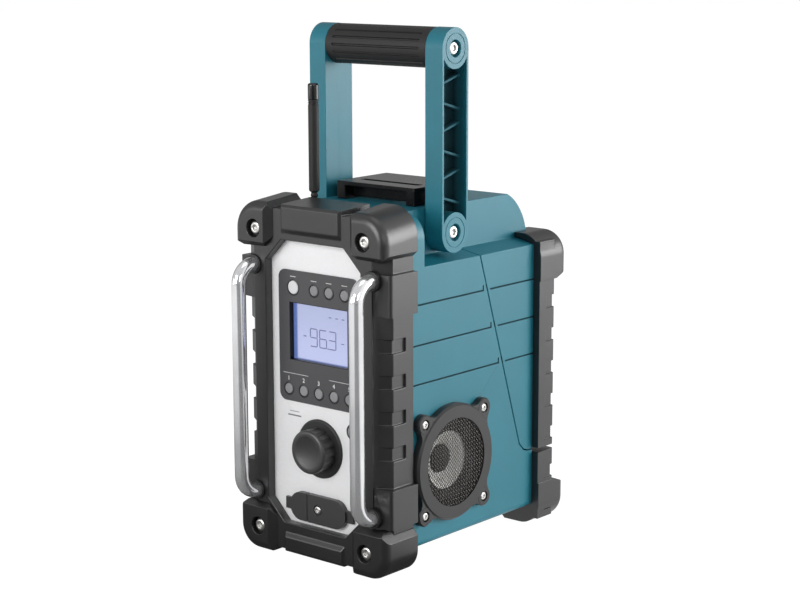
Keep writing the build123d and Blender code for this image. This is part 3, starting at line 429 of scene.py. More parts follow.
@dataclass(frozen=True)
class SilverPaint(Finish):
    """Pale silver paint: fine flakes under a satin lacquer.

    Attributes:
        colour: Its base colour.
        flakes: Flakes to the metre.
        relief: Height of the flakes in metres.
        clouds: Clouds of the gloss to the metre.
        metallic: Share of bare metal in the surface.
        roughness: Its mean roughness.
        lacquer: Weight of the lacquer.
        lacquer_roughness: Roughness of the lacquer.
    """

    name: str = "silver_paint"
    slot: str = "silver_panel"
    colour: Colour = (0.90, 0.90, 0.91)
    flakes: float = 3800.0
    relief: float = 0.00002
    clouds: float = 18.0
    metallic: float = 0.12
    roughness: float = 0.38
    lacquer: float = 0.3
    lacquer_roughness: float = 0.15

    def paint(self, graph: Graph) -> None:
        """Flakes as tiny changes of tone and direction."""
        flakes = graph.noise(self.flakes, 2.0)
        cloud = graph.noise(self.clouds, 2.0)
        light = tuple(min(1.0, c * 1.05) for c in self.colour)
        dark = tuple(c * 0.93 for c in self.colour)
        graph.surface({
            "Base Color": graph.tint(flakes.step(0.35, 0.65), dark, light),
            "Metallic": self.metallic,
            "Roughness": self.roughness + (cloud - 0.5) * 0.1,
            "Coat Weight": self.lacquer,
            "Coat Roughness": self.lacquer_roughness,
            "Normal": graph.bump(flakes, self.relief),
        })


@dataclass(frozen=True)
class Backlight(Finish):
    """Liquid crystal display lit from its right side, darker blue to the left and at its foot.

    Attributes:
        left: X of the display's left edge in metres.
        foot: Z of its lower edge in metres.
        sweep: Height in metres over which the glow goes from its lower to its upper colour.
        side_band: Where the dark band at the left fades, in metres from the edge.
        foot_band: Where the one at the foot fades.
        low_glow: The glow's colour at the foot.
        high_glow: Its colour at the top.
        side_blue: Colour of the band at the left.
        foot_blue: Colour of the band at the foot.
        unlit: The display's own colour.
    """

    name: str = "display_backlight"
    slot: str = "lcd_backlight"
    left: float = -DISPLAY_HALF * MM
    foot: float = DISPLAY_FOOT * MM
    sweep: float = 0.045
    side_band: Span = (0.0022, 0.0042)
    foot_band: Span = (0.0002, 0.0016)
    low_glow: Colour = (0.52, 0.56, 0.82)
    high_glow: Colour = (0.44, 0.48, 0.69)
    side_blue: Colour = (0.09, 0.15, 0.40)
    foot_blue: Colour = (0.12, 0.17, 0.40)
    unlit: Colour = (0.03, 0.04, 0.08)

    def paint(self, graph: Graph) -> None:
        """A pale violet glow inside a dark blue band at the left and a thinner one at the foot."""
        from_left = (graph.axis("X") - self.left).step(*self.side_band)
        height = graph.axis("Z") - self.foot
        glow = graph.tint(height.step(0.0, self.sweep), self.low_glow, self.high_glow)
        glow = graph.tint(from_left, self.side_blue, glow)
        graph.surface({
            "Base Color": (*self.unlit, 1.0),
            "Roughness": 0.4 + (graph.noise(400.0) - 0.5) * 0.1,
            "Emission Color": graph.tint(height.step(*self.foot_band), self.foot_blue, glow),
            "Emission Strength": 1.0,
        })


@dataclass(frozen=True)
class ClearWindow(Finish):
    """Clear plastic in front of the display.

    Attributes:
        colour: Its base colour.
        body: How much of it isn't clear.
    """

    name: str = "clear_window"
    slot: str = "lcd_clear"
    colour: Colour = (0.35, 0.38, 0.5)
    body: float = 0.05

    def paint(self, graph: Graph) -> None:
        """Almost wholly clear, with faint rubbing marks in its gloss."""
        graph.surface({
            "Base Color": (*self.colour, 1.0),
            "Roughness": 0.06 + graph.noise(120.0, 3.0) * 0.05,
            "Alpha": self.body,
        })


@dataclass(frozen=True)
class CircuitBoard(Finish):
    """Green lacquered board with faint copper tracks.

    Attributes:
        track: The lacquer's colour over the tracks.
        bare: Its colour between them.
        relief: How deep the tracks lie, in metres.
    """

    name: str = "circuit_board"
    slot: str = "circuit_board"
    track: Colour = (0.03, 0.16, 0.05)
    bare: Colour = (0.01, 0.08, 0.03)
    relief: float = 0.00003

    def paint(self, graph: Graph) -> None:
        """Tracks as thin bands of noise."""
        between = (graph.noise(160.0, 0.0, (1.0, 1.0, 4.0)) - 0.5).absolute().step(0.02, 0.05)
        graph.surface({
            "Base Color": graph.tint(between, self.track, self.bare),
            "Roughness": 0.3 + between * 0.1,
            "Normal": graph.bump(between, self.relief),
        })


# Painted shade in the teal: the side grooves and the handle arms' pockets are darkened in their colour.
SIDE_GROOVE_SHADE = tuple(PaintedShadeHollow(73.0, (73.75, 73.95), (0.0, 120.0), (middle, 2.9), 0.8)
                     for middle in (219.0, 186.5, 154.5))
ARM_POCKET_SHADE = tuple(PaintedShadeHollow(55.2, mouth, (HANDLE_Y, 14.3), (342.9, 64.6), painted_shade)
                    for mouth, painted_shade in (((64.5, 71.0), 0.45), ((57.0, 63.0), 0.6)))


def teal_plastic(name: str, hollows: tuple[PaintedShadeHollow, ...]) -> Moulding:
    """The teal plastic, with painted shade darkening its colour in these hollows."""
    return Moulding(name, "teal_plastic", (0.011, 0.172, 0.232), roughness=0.42, grain=2400.0,
                    relief=0.00004, tone=0.05, hollows=hollows)


def printed_ink(name: str, slot: str, colour: Colour, gloss: float = 0.3) -> Moulding:
    """Printed ink."""
    return Moulding(name, slot, colour, roughness=0.5, grain=2000.0, relief=0.00001, tone=0.03, gloss=gloss)


@dataclass(frozen=True)
class Palette:
    """Every finish of the radio."""

    teal: Finish = teal_plastic("teal_shell", SIDE_GROOVE_SHADE)
    arm: Finish = teal_plastic("teal_arm", ARM_POCKET_SHADE)
    armour: Finish = Moulding("armour_black", "armour_rubber", (0.012, 0.0115, 0.012),
                              roughness=0.35, grain=1900.0, relief=0.00006, gloss=0.80)
    grip: Finish = Moulding("grip_black", "grip_rubber", (0.018, 0.017, 0.017),
                            roughness=0.50, grain=1700.0, relief=0.00008, gloss=0.35)
    plastic: Finish = Moulding("plain_black", "black_plastic", (0.020, 0.020, 0.021),
                               roughness=0.40, grain=2400.0, relief=0.00004, tone=0.06)
    bezel: Finish = Moulding("bezel_grey", "bezel_grey", (0.085, 0.085, 0.090),
                             roughness=0.42, grain=3000.0, relief=0.00003, tone=0.04, gloss=0.45)
    rubber: Finish = Moulding("cover_rubber", "grip_rubber", (0.036, 0.035, 0.036),
                              roughness=0.38, grain=2200.0, relief=0.00004, tone=0.06, gloss=0.7)
    latch: Finish = Moulding("latch_black", "black_plastic", (0.004, 0.004, 0.0045),
                             roughness=0.28, relief=0.00003, gloss=0.22)
    cloth: Finish = Moulding("surround_black", "black_plastic", (0.007, 0.007, 0.007),
                             roughness=0.65, grain=1500.0, relief=0.00006, gloss=0.2)
    key_grey: Finish = Moulding("key_grey", "grey_button", (0.26, 0.26, 0.27),
                                roughness=0.40, relief=0.00004, tone=0.05)
    key_white: Finish = Moulding("key_white", "white_button", (0.72, 0.72, 0.73),
                                 roughness=0.32, relief=0.00002, tone=0.03)
    ink_white: Finish = printed_ink("printed_white", "white_button", (0.70, 0.70, 0.70))
    ink_grey: Finish = printed_ink("printed_grey", "bezel_grey", (0.18, 0.18, 0.19))
    digit: Finish = printed_ink("display_digit", "bezel_grey", (0.16, 0.18, 0.36), 0.2)
    paper: Finish = Moulding("cone_paper", "speaker_paper", (0.80, 0.79, 0.76),
                             roughness=0.62, grain=1200.0, relief=0.00012, tone=0.06, gloss=0.3)
    gloss: Finish = Moulding("gloss_black", "glossy_black", (0.005, 0.005, 0.005),
                             roughness=0.10, grain=2000.0, relief=0.00001, tone=0.1, coat=0.2)
    pack: Finish = Moulding("pack_black", "pack_plastic", (0.028, 0.028, 0.030),
                            roughness=0.48, grain=2000.0, relief=0.00006)
    terminal: Finish = Moulding("terminal_yellow", "terminal_yellow", (0.70, 0.48, 0.05),
                                roughness=0.4, grain=2400.0, relief=0.00003, tone=0.05)
    chrome: Finish = Metal("chrome_plate", "chrome", (0.93, 0.935, 0.95),
                           roughness=0.06, marks=500.0, stretch=(1.0, 1.0, 0.3), metallic=0.80)
    steel: Finish = Metal("screw_steel", "steel", (0.76, 0.75, 0.73), roughness=0.33, marks=1500.0)
    mesh: Finish = Metal("mesh_wire", "speaker_mesh", (0.115, 0.11, 0.105), roughness=0.42, marks=2500.0)
    magnet: Finish = Metal("magnet_plate", "magnet_steel", (0.42, 0.42, 0.43), roughness=0.35, marks=800.0)
    panel: Finish = SilverPaint()
    backlight: Finish = Backlight()
    window: Finish = ClearWindow()
    board: Finish = CircuitBoard()


# ------------------------------------------------------------------ mesh making
Array = np.ndarray


def new_mesh(name: str, points: Array, faces: Sequence[Sequence[int]]) -> bpy.types.Mesh:
    """A mesh from points in millimetres.

    Args:
        name: Its name.
        points: One row of three for each vertex.
        faces: The vertex numbers of each face.

    Returns:
        The mesh, in metres.
    """
    mesh = bpy.data.meshes.new(name)
    mesh.from_pydata(np.asarray(points, float) * MM, [], faces)
    mesh.update()
    return mesh


def grid_faces(rows: int, columns: int, close_rows: bool = False) -> Array:
    """Quads of a grid of vertices that is numbered row by row, with each row a closed ring.

    Args:
        rows: Number of rows.
        columns: Vertices in a row.
        close_rows: Join the last row to the first.

    Returns:
        One row of four vertex numbers for each quad.
    """
    r, c = np.meshgrid(np.arange(rows if close_rows else rows - 1), np.arange(columns), indexing="ij")
    r2, c2 = (r + 1) % rows, (c + 1) % columns
    quads = [r * columns + c, r * columns + c2, r2 * columns + c2, r2 * columns + c]
    return np.stack(quads, -1).reshape(-1, 4)


def grid_mesh(name: str, points: Array, close_rows: bool = False) -> bpy.types.Mesh:
    """A surface from a grid of points whose rows are closed rings, with its open ends capped.

    Args:
        name: The mesh's name.
        points: Rows by columns by three, in millimetres.
        close_rows: Join the last row to the first, in place of the two caps.

    Returns:
        The mesh with its faces outwards.
    """
    rows, columns = points.shape[:2]
    faces = grid_faces(rows, columns, close_rows).tolist()
    if not close_rows:
        faces.append(list(range(columns))[::-1])
        faces.append(list(range((rows - 1) * columns, rows * columns)))
    mesh = new_mesh(name, points.reshape(-1, 3), faces)
    outward(mesh)
    return mesh


def outward(mesh: bpy.types.Mesh) -> None:
    """Merge a mesh's doubled vertices and turn its faces outwards.

    Args:
        mesh: The mesh to change.
    """
    work = bmesh.new()
    work.from_mesh(mesh)
    bmesh.ops.remove_doubles(work, verts=work.verts, dist=1e-6)
    bmesh.ops.recalc_face_normals(work, faces=work.faces)
    work.to_mesh(mesh)
    work.free()


def about_axis(axis: str, along: Array, radius: Array, angle: Array, centre: Sequence[float]) -> Array:
    """Points of a turned surface: the place along the axis, and radius times cosine and sine across it.

    Args:
        axis: x, y or z.
        along: Place along the axis, absolute.
        radius: Distance from the axis.
        angle: Angle round the axis.
        centre: The axis's own place; its coordinate along the axis isn't used.

    Returns:
        The points, with three as the last length.
    """
    along, radius, angle = np.broadcast_arrays(along, radius, angle)
    across, up = radius * np.cos(angle), radius * np.sin(angle)
    x, y, z = centre
    parts = {
        "x": (along, y + across, z + up),
        "y": (x + across, along, z + up),
        "z": (x + across, y + up, along),
    }[axis]
    return np.stack(parts, -1)


def turned(name: str, axis: str, profile: Sequence[Sequence[float]], centre: Sequence[float],
           sides: int = 64) -> bpy.types.Mesh:
    """A turned piece from a closed or capped profile.

    Args:
        name: The mesh's name.
        axis: The axis it is turned about.
        profile: Pairs of the place along the axis and the radius.
        centre: A point on the axis.
        sides: Vertices round it.

    Returns:
        The mesh.
    """
    outline = np.asarray(profile, float)
    angle = np.arange(sides) * TAU / sides
    points = about_axis(axis, outline[:, :1], outline[:, 1:], angle[None, :], centre)
    closed = bool(np.allclose(outline[0], outline[-1]))
    return grid_mesh(name, points[:-1] if closed else points, closed)


def tube_along(name: str, path: Array, radius: float, sides: int) -> bpy.types.Mesh:
    """A round tube along a path in one plane: at each point a circle square to the path.

    Args:
        name: The mesh's name.
        path: The centre line, in a plane of constant X.
        radius: The tube's radius.
        sides: Vertices round it.

    Returns:
        The mesh.
    """
    run = np.gradient(path, axis=0)
    run /= np.linalg.norm(run, axis=1, keepdims=True)
    side = np.array([1.0, 0.0, 0.0])
    up = np.cross(run, side)
    angle = np.arange(sides) * TAU / sides
    ring = side * np.cos(angle)[None, :, None] + up[:, None, :] * np.sin(angle)[None, :, None]
    return grid_mesh(name, path[:, None, :] + radius * ring)


def slab(name: str, outline: Sequence[Sequence[float]], near: float, far: float) -> bpy.types.Mesh:
    """A thin plate facing the front, from an outline of (x, z) points between two depths.

    Args:
        name: The mesh's name.
        outline: The corners in order.
        near: Y of its face.
        far: Y of its back.

    Returns:
        The mesh.
    """
    flat = np.asarray(outline, float)
    return grid_mesh(name, np.stack([np.insert(flat, 1, y, axis=1) for y in (near, far)]))


def plate(name: str, low: Sequence[float], high: Sequence[float], near: float, far: float) -> bpy.types.Mesh:
    """A rectangular slab between two opposite corners (x, z)."""
    (x0, z0), (x1, z1) = low, high
    return slab(name, [(x0, z0), (x1, z0), (x1, z1), (x0, z1)], near, far)


def joined(name: str, meshes: Iterable[bpy.types.Mesh]) -> bpy.types.Mesh:
    """Several meshes as one; the parts are removed.

    Args:
        name: The new mesh's name.
        meshes: The parts.

    Returns:
        The new mesh.
    """
    work = bmesh.new()
    for mesh in meshes:
        work.from_mesh(mesh)
        bpy.data.meshes.remove(mesh)
    made = bpy.data.meshes.new(name)
    work.to_mesh(made)
    work.free()
    return made


def mirrored(mesh: bpy.types.Mesh, name: str) -> bpy.types.Mesh:
    """A copy on the other side of the radio, with its faces turned back outwards."""
    copy = mesh.copy()
    copy.name = name
    copy.transform(Matrix.Diagonal((-1.0, 1.0, 1.0, 1.0)))
    copy.flip_normals()
    return copy


# ------------------------------------------------------------------ pieces
class Workshop:
    """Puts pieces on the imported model's bodies and dresses its nodes.

    Attributes:
        sharp: Edges sharper than this angle are rounded.
        flat: Faces whose normals differ by less than this angle lie in one flat region.
    """

    sharp: float = math.radians(32.0)
    flat: float = math.radians(0.5)

    def __init__(self, model: dict) -> None:
        """Keep the loaded model.
        """
        self.nodes: dict[str, bpy.types.Object] = model["nodes"]

    def piece(self, name: str, mesh: bpy.types.Mesh, body: str, finish: Finish,
              replaced: Sequence[str] = (), smooth: float | None = 35.0) -> bpy.types.Object:
        """Add one finished piece.

        Args:
            name: The piece's name.
            mesh: Its mesh, already in place.
            body: The body that it moves with.
            finish: Its finish.
            replaced: The nodes that it stands for.
            smooth: Edges flatter than this angle are shaded round; None leaves the shading alone.

        Returns:
            The piece's object.
        """
        thing = bpy.data.objects.new(name, mesh)
        bpy.context.scene.collection.objects.link(thing)
        mesh.name = name
        mesh.materials.clear()
        mesh.materials.append(finish.material())
        if smooth is not None:
            mesh.shade_smooth()
            mesh.set_sharp_from_angle(angle=math.radians(smooth))
        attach(thing, body)
        if replaced:
            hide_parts(*replaced)
        log.info("piece %s on %s, %d faces", name, body, len(mesh.polygons))
        return thing

    def clean_copy(self, node: str) -> bpy.types.Mesh:
        """A node's surface as one joined mesh with its flat faces whole.

        Args:
            node: The node's name.

        Returns:
            The new mesh.
        """
        source = self.nodes[node].data
        points = np.empty(len(source.vertices) * 3, np.float32)
        source.vertices.foreach_get("co", points)
        corners = np.empty(len(source.loops), np.int32)
        source.loops.foreach_get("vertex_index", corners)
        mesh = bpy.data.meshes.new(node)
        mesh.from_pydata(points.reshape(-1, 3), [], corners.reshape(-1, 3))
        work = bmesh.new()
        work.from_mesh(mesh)
        bmesh.ops.remove_doubles(work, verts=work.verts, dist=2e-6)
        self.merge_flats(work)
        work.to_mesh(mesh)
        work.free()
        return mesh

    def merge_flats(self, work: bmesh.types.BMesh) -> None:
        """Join the triangles of each flat region without holes into one face.

        A region grows over edges that are bent by less than the flat angle. It has no hole where its
        corners, less its edges, plus its faces come to one.

        Args:
            work: The mesh to change.
        """
        work.edges.index_update()
        seen: set[bmesh.types.BMFace] = set()
        inner_edges: list[bmesh.types.BMEdge] = []
        for first in work.faces:
            if first in seen:
                continue
            seen.add(first)
            region, queue = [first], [first]
            while queue:
                for edge in queue.pop().edges:
                    if len(edge.link_faces) != 2 or edge.calc_face_angle(math.pi) > self.flat:
                        continue
                    for face in edge.link_faces:
                        if face not in seen and face.normal.angle(first.normal, math.pi) < 2 * self.flat:
                            seen.add(face)
                            region.append(face)
                            queue.append(face)
            corners = {vertex for face in region for vertex in face.verts}
            sides = {edge for face in region for edge in face.edges}
            if len(region) > 1 and len(corners) - len(sides) + len(region) == 1:
                members = set(region)
                inner_edges += [edge for edge in sides
                                if members.issuperset(edge.link_faces) and len(edge.link_faces) == 2]
        inner_edges.sort(key=lambda edge: edge.index)
        bmesh.ops.dissolve_edges(work, edges=inner_edges, use_verts=False, use_face_split=False)
        straight = [vertex for vertex in work.verts
                    if len(vertex.link_edges) == 2 and vertex.calc_edge_angle(math.pi) < self.flat]
        bmesh.ops.dissolve_verts(work, verts=straight)

    def weigh_edges(self, mesh: bpy.types.Mesh, width: float) -> None:
        """Mark the sharp edges with how much of the full rounding they have room for.

        An edge gets its full width where the shortest edge at its ends is four times as long.

        Args:
            mesh: The mesh to mark.
            width: Full width of the rounding in millimetres.
        """
        work = bmesh.new()
        work.from_mesh(mesh)
        layer = work.edges.layers.float.new("bevel_weight_edge")
        room = {vertex.index: min(edge.calc_length() for edge in vertex.link_edges) for vertex in work.verts}
        for edge in work.edges:
            if len(edge.link_faces) == 2 and edge.calc_face_angle(0.0) > self.sharp:
                least = min(room[vertex.index] for vertex in edge.verts)
                edge[layer] = min(1.0, 0.25 * least / (width * MM))
        work.to_mesh(mesh)
        work.free()

    def softened(self, node: str, body: str, finish: Finish, width: float,
                 segments: int = 3) -> bpy.types.Object:
        """A copy of a node with its sharp edges rounded, in place of the node.

        Args:
            node: The node's name.
            body: The body that it moves with.
            finish: Its finish.
            width: Width of the rounding in millimetres.
            segments: Facets across it.

        Returns:
            The new piece.
        """
        mesh = self.clean_copy(node)
        self.weigh_edges(mesh, width)
        thing = self.piece(f"{node}_moulded", mesh, body, finish, [node], smooth=None)
        thing.data.shade_smooth()
        thing.data.set_sharp_from_angle(angle=self.sharp)
        bevel = thing.modifiers.new("rounded_edges", "BEVEL")
        bevel.width = width * MM
        bevel.segments = segments
        bevel.limit_method = "WEIGHT"
        bevel.use_clamp_overlap = False
        bevel.miter_outer = "MITER_ARC"
        bevel.face_strength_mode = "FSTR_ALL"
        shading = thing.modifiers.new("flat_faces", "WEIGHTED_NORMAL")
        shading.use_face_influence = True
        shading.keep_sharp = True
        return thing

    def dress(self, node: str, finish: Finish) -> None:
        """Give a carried-over node its finish."""
        mesh = self.nodes[node].data
        mesh.materials.clear()
        mesh.materials.append(finish.material())


# ------------------------------------------------------------------ sub-assemblies
class Assembly:
    """A sub-assembly of the radio."""

    def build(self, shop: Workshop, palette: Palette) -> None:
        """Make and dress the sub-assembly's pieces.

        Args:
            shop: Makes pieces from meshes and nodes.
            palette: The finishes.
        """
        raise NotImplementedError


@dataclass
class Shell(Assembly):
    """The teal housing and the rear door.

    Attributes:
        edge: Rounding of the outer edges.
    """

    edge: float = 0.5

    def build(self, shop: Workshop, palette: Palette) -> None:
        """Make the shell's pieces."""
        for node, body in (("main_housing", "housing"), ("battery_door", "battery_door")):
            shop.softened(node, body, palette.teal, self.edge, 2)


@dataclass
class Armour(Assembly):
    """The black front frame, the corner pieces and the guard bars' grommets.

    Attributes:
        edge: Rounding of the frame's edges.
        bumper_edge: Rounding of the corner pieces' edges.
        grommet_edge: Rounding of the grommets' edges.
    """

    edge: float = 0.7
    bumper_edge: float = 1.0
    grommet_edge: float = 0.5

    def build(self, shop: Workshop, palette: Palette) -> None:
        """Make the armour's pieces."""
        shop.softened("front_frame", "housing", palette.armour, self.edge)
        bumpers = {"front_bumpers_upper": "housing", "front_bumpers_lower": "housing",
                   "rear_bumpers": "battery_door", "rear_feet": "housing"}
        for node, body in bumpers.items():
            shop.softened(node, body, palette.armour, self.bumper_edge)
        shop.softened("guard_bar_grommets", "housing", palette.plastic, self.grommet_edge, 2)


@dataclass
class GuardBar(Assembly):
    """A chrome bar: two legs and one upright run, with round bends.

    Attributes:
        x: Its place across the radio, on the right-hand side.
        front: Y of the upright's centre line.
        inside: Y where the legs end.
        low: Z of the lower leg.
        high: Z of the upper leg.
        bend: Radius of the centre line in the bends.
        radius: The bar's radius.
        steps: Points along the upright, between the bends.
    """

    x: float = 63.9
    front: float = -123.85
    inside: float = -98.45
    low: float = 50.5
    high: float = 241.4
    bend: float = 16.0
    radius: float = 6.0
    steps: int = 9

    def path(self) -> Array:
        """The centre line: a straight leg, a quarter turn, the upright, a quarter turn and a leg.

        Returns:
            Points in order.
        """
        turn = np.linspace(0, math.pi / 2, 17)
        corner_y = self.front + self.bend
        low = np.stack([corner_y - self.bend * np.sin(turn), self.low + self.bend * (1 - np.cos(turn))], -1)
        high = np.stack([low[::-1, 0], self.high + self.low - low[::-1, 1]], -1)
        rise = np.linspace(low[-1, 1], high[0, 1], self.steps + 2)[1:-1]
        upright = np.stack([np.full(self.steps, self.front), rise], -1)
        flat = np.concatenate([[[self.inside, self.low]], low, upright, high, [[self.inside, self.high]]])
        return np.insert(flat, 0, self.x, axis=1)

    def build(self, shop: Workshop, palette: Palette) -> None:
        """Make both bars."""
        bar = tube_along("guard_bar_right_tube", self.path(), self.radius, 48)
        other = mirrored(bar, "guard_bar_left_tube")
        shop.piece("guard_bar_right_tube", bar, "housing", palette.chrome, ["guard_bar_right"])
        shop.piece("guard_bar_left_tube", other, "housing", palette.chrome, ["guard_bar_left"])


@dataclass(frozen=True)
class Key:
    """A round key.

    Attributes:
        node: Its node's name.
        x: Its place across the radio.
        z: Its height.
        radius: Its radius.
    """

    node: str
    x: float
    z: float
    radius: float = 4.4


@dataclass
class Controls(Assembly):
    """The silver panel, the bezel with its keys and printing, and the rubber socket cover.

    Attributes:
        bezel_y: Y of the bezel's face.
        panel_y: Y of the panel's face.
        preset_pitch: Spacing of the preset keys.
        preset_z: Height of the preset keys.
        keys: The other keys on the bezel.
        select: The key on the panel.
        ring_gap: Space between a key and its ring.
        ring_reach: How far a ring on the bezel reaches past its key.
        select_reach: How far the one on the panel does.
        ring_rise: How far a ring stands out of its face, and how deep it sits.
        number_height: Height of the preset numbers.
        number_rise: How far they are above their keys.
        dash: Half the length of the stroke above each other key.
        dash_rise: How far it is above the key's edge.
        divider: Where the two lines above the numbers start and end, from the middle.
        divider_z: Height of those lines.
        panel_lines: Ends, height and thickness of each line on the panel.
        cover_edge: Rounding of the rubber cover's edges.
    """

    bezel_y: float = -98.45
    panel_y: float = -97.25
    preset_pitch: float = 16.55
    preset_z: float = 140.5
    keys: tuple[Key, ...] = (Key("function_button_1", -4.3, 224.8), Key("function_button_2", 11.9, 224.8),
                             Key("function_button_3", 28.7, 224.8), Key("power_button", -27.1, 225.1, 5.6))
    select: Key = Key("select_button", 35.6, 114.4, 4.8)
    ring_gap: float = 0.15
    ring_reach: float = 1.2
    select_reach: float = 2.0
    ring_rise: float = 0.3
    number_height: float = 4.8
    number_rise: float = 8.6
    dash: float = 3.0
    dash_rise: float = 3.4
    divider: Span = (11.5, 39.0)
    divider_z: float = 153.6
    panel_lines: tuple[tuple[float, ...], ...] = ((-33.5, -23.0, 121.6, 0.5), (-35.5, -21.0, 118.2, 1.1))
    cover_edge: float = 0.8

    def ring(self, key: Key, reach: float, face: float) -> bpy.types.Mesh:
        """A thin dark ring round a key, standing a little proud of its face."""
        inner, outer = key.radius + self.ring_gap, key.radius + reach
        back, top = face + self.ring_rise, face - self.ring_rise
        profile = [(back, outer), (face - 0.15, outer), (top, outer - 0.25), (top, inner + 0.2),
                   (face - 0.1, inner), (back, inner), (back, outer)]
        return turned("ring", "y", profile, (key.x, 0.0, key.z), 48)

    def sign(self, text: str, x: float, z: float) -> bpy.types.Mesh:
        """A printed sign, centred at (x, z) on the bezel's face.

        Args:
            text: What it says.
            x: Its middle across the radio.
            z: Height of its middle.

        Returns:
            The sign's mesh.
        """
        curve = bpy.data.curves.new("sign", "FONT")
        curve.body = text
        curve.size = self.number_height * MM
        curve.align_x = "CENTER"
        curve.align_y = "CENTER"
        curve.extrude = 0.04 * MM
        curve.offset = 0.10 * MM
        holder = bpy.data.objects.new("sign", curve)
        mesh = bpy.data.meshes.new_from_object(holder)
        bpy.data.objects.remove(holder)
        bpy.data.curves.remove(curve)
        place = Matrix.Translation((x * MM, (self.bezel_y - 0.03) * MM, z * MM))
        mesh.transform(place @ Matrix.Rotation(math.pi / 2, 4, "X"))
        return mesh

    def stripe(self, x0: float, x1: float, z: float, thick: float, face: float) -> bpy.types.Mesh:
        """A thin printed line on a face."""
        return plate("stripe", (x0, z - thick / 2), (x1, z + thick / 2), face - 0.06, face + 0.05)

    def printing(self, presets: Sequence[Key]) -> list[bpy.types.Mesh]:
        """Everything that is printed on the bezel: the numbers, two dividers and a stroke above each key.

        Args:
            presets: The numbered keys.

        Returns:
            A mesh for each number, divider and stroke.
        """
        signs = [self.sign(str(i + 1), key.x, key.z + self.number_rise) for i, key in enumerate(presets)]
        near, far = self.divider
        signs += [self.stripe(x0, x1, self.divider_z, 0.35, self.bezel_y)
                  for x0, x1 in ((-far, -near), (near, far))]
        for key in self.keys:
            level = key.z + key.radius + self.dash_rise
            signs.append(self.stripe(key.x - self.dash, key.x + self.dash, level, 0.5, self.bezel_y))
        return signs

    def build(self, shop: Workshop, palette: Palette) -> None:
        """Make the panel's pieces."""
        shop.softened("front_panel", "housing", palette.panel, 0.2, 2)
        shop.softened("control_bezel", "housing", palette.bezel, 0.35)
        presets = [Key(f"preset_button_{i + 1}", (i - 2) * self.preset_pitch, self.preset_z)
                   for i in range(5)]
        rings = [self.ring(key, self.ring_reach, self.bezel_y) for key in (*presets, *self.keys)]
        rings.append(self.ring(self.select, self.select_reach, self.panel_y))
        shop.piece("key_rings", joined("key_rings", rings), "housing", palette.plastic)
        for key in (*presets, *self.keys, self.select):
            finish = palette.key_white if key.node == "power_button" else palette.key_grey
            shop.softened(key.node, key.node, finish, 0.3, 2)
        signs = joined("bezel_printing", self.printing(presets))
        shop.piece("bezel_printing", signs, "housing", palette.ink_white)
        lines = joined("panel_printing", [self.stripe(*line, self.panel_y) for line in self.panel_lines])
        shop.piece("panel_printing", lines, "housing", palette.ink_grey)
        shop.softened("aux_cover", "housing", palette.rubber, self.cover_edge)
        shop.softened("aux_flap", "aux_flap", palette.rubber, self.cover_edge)
        shop.dress("aux_jack", palette.plastic)


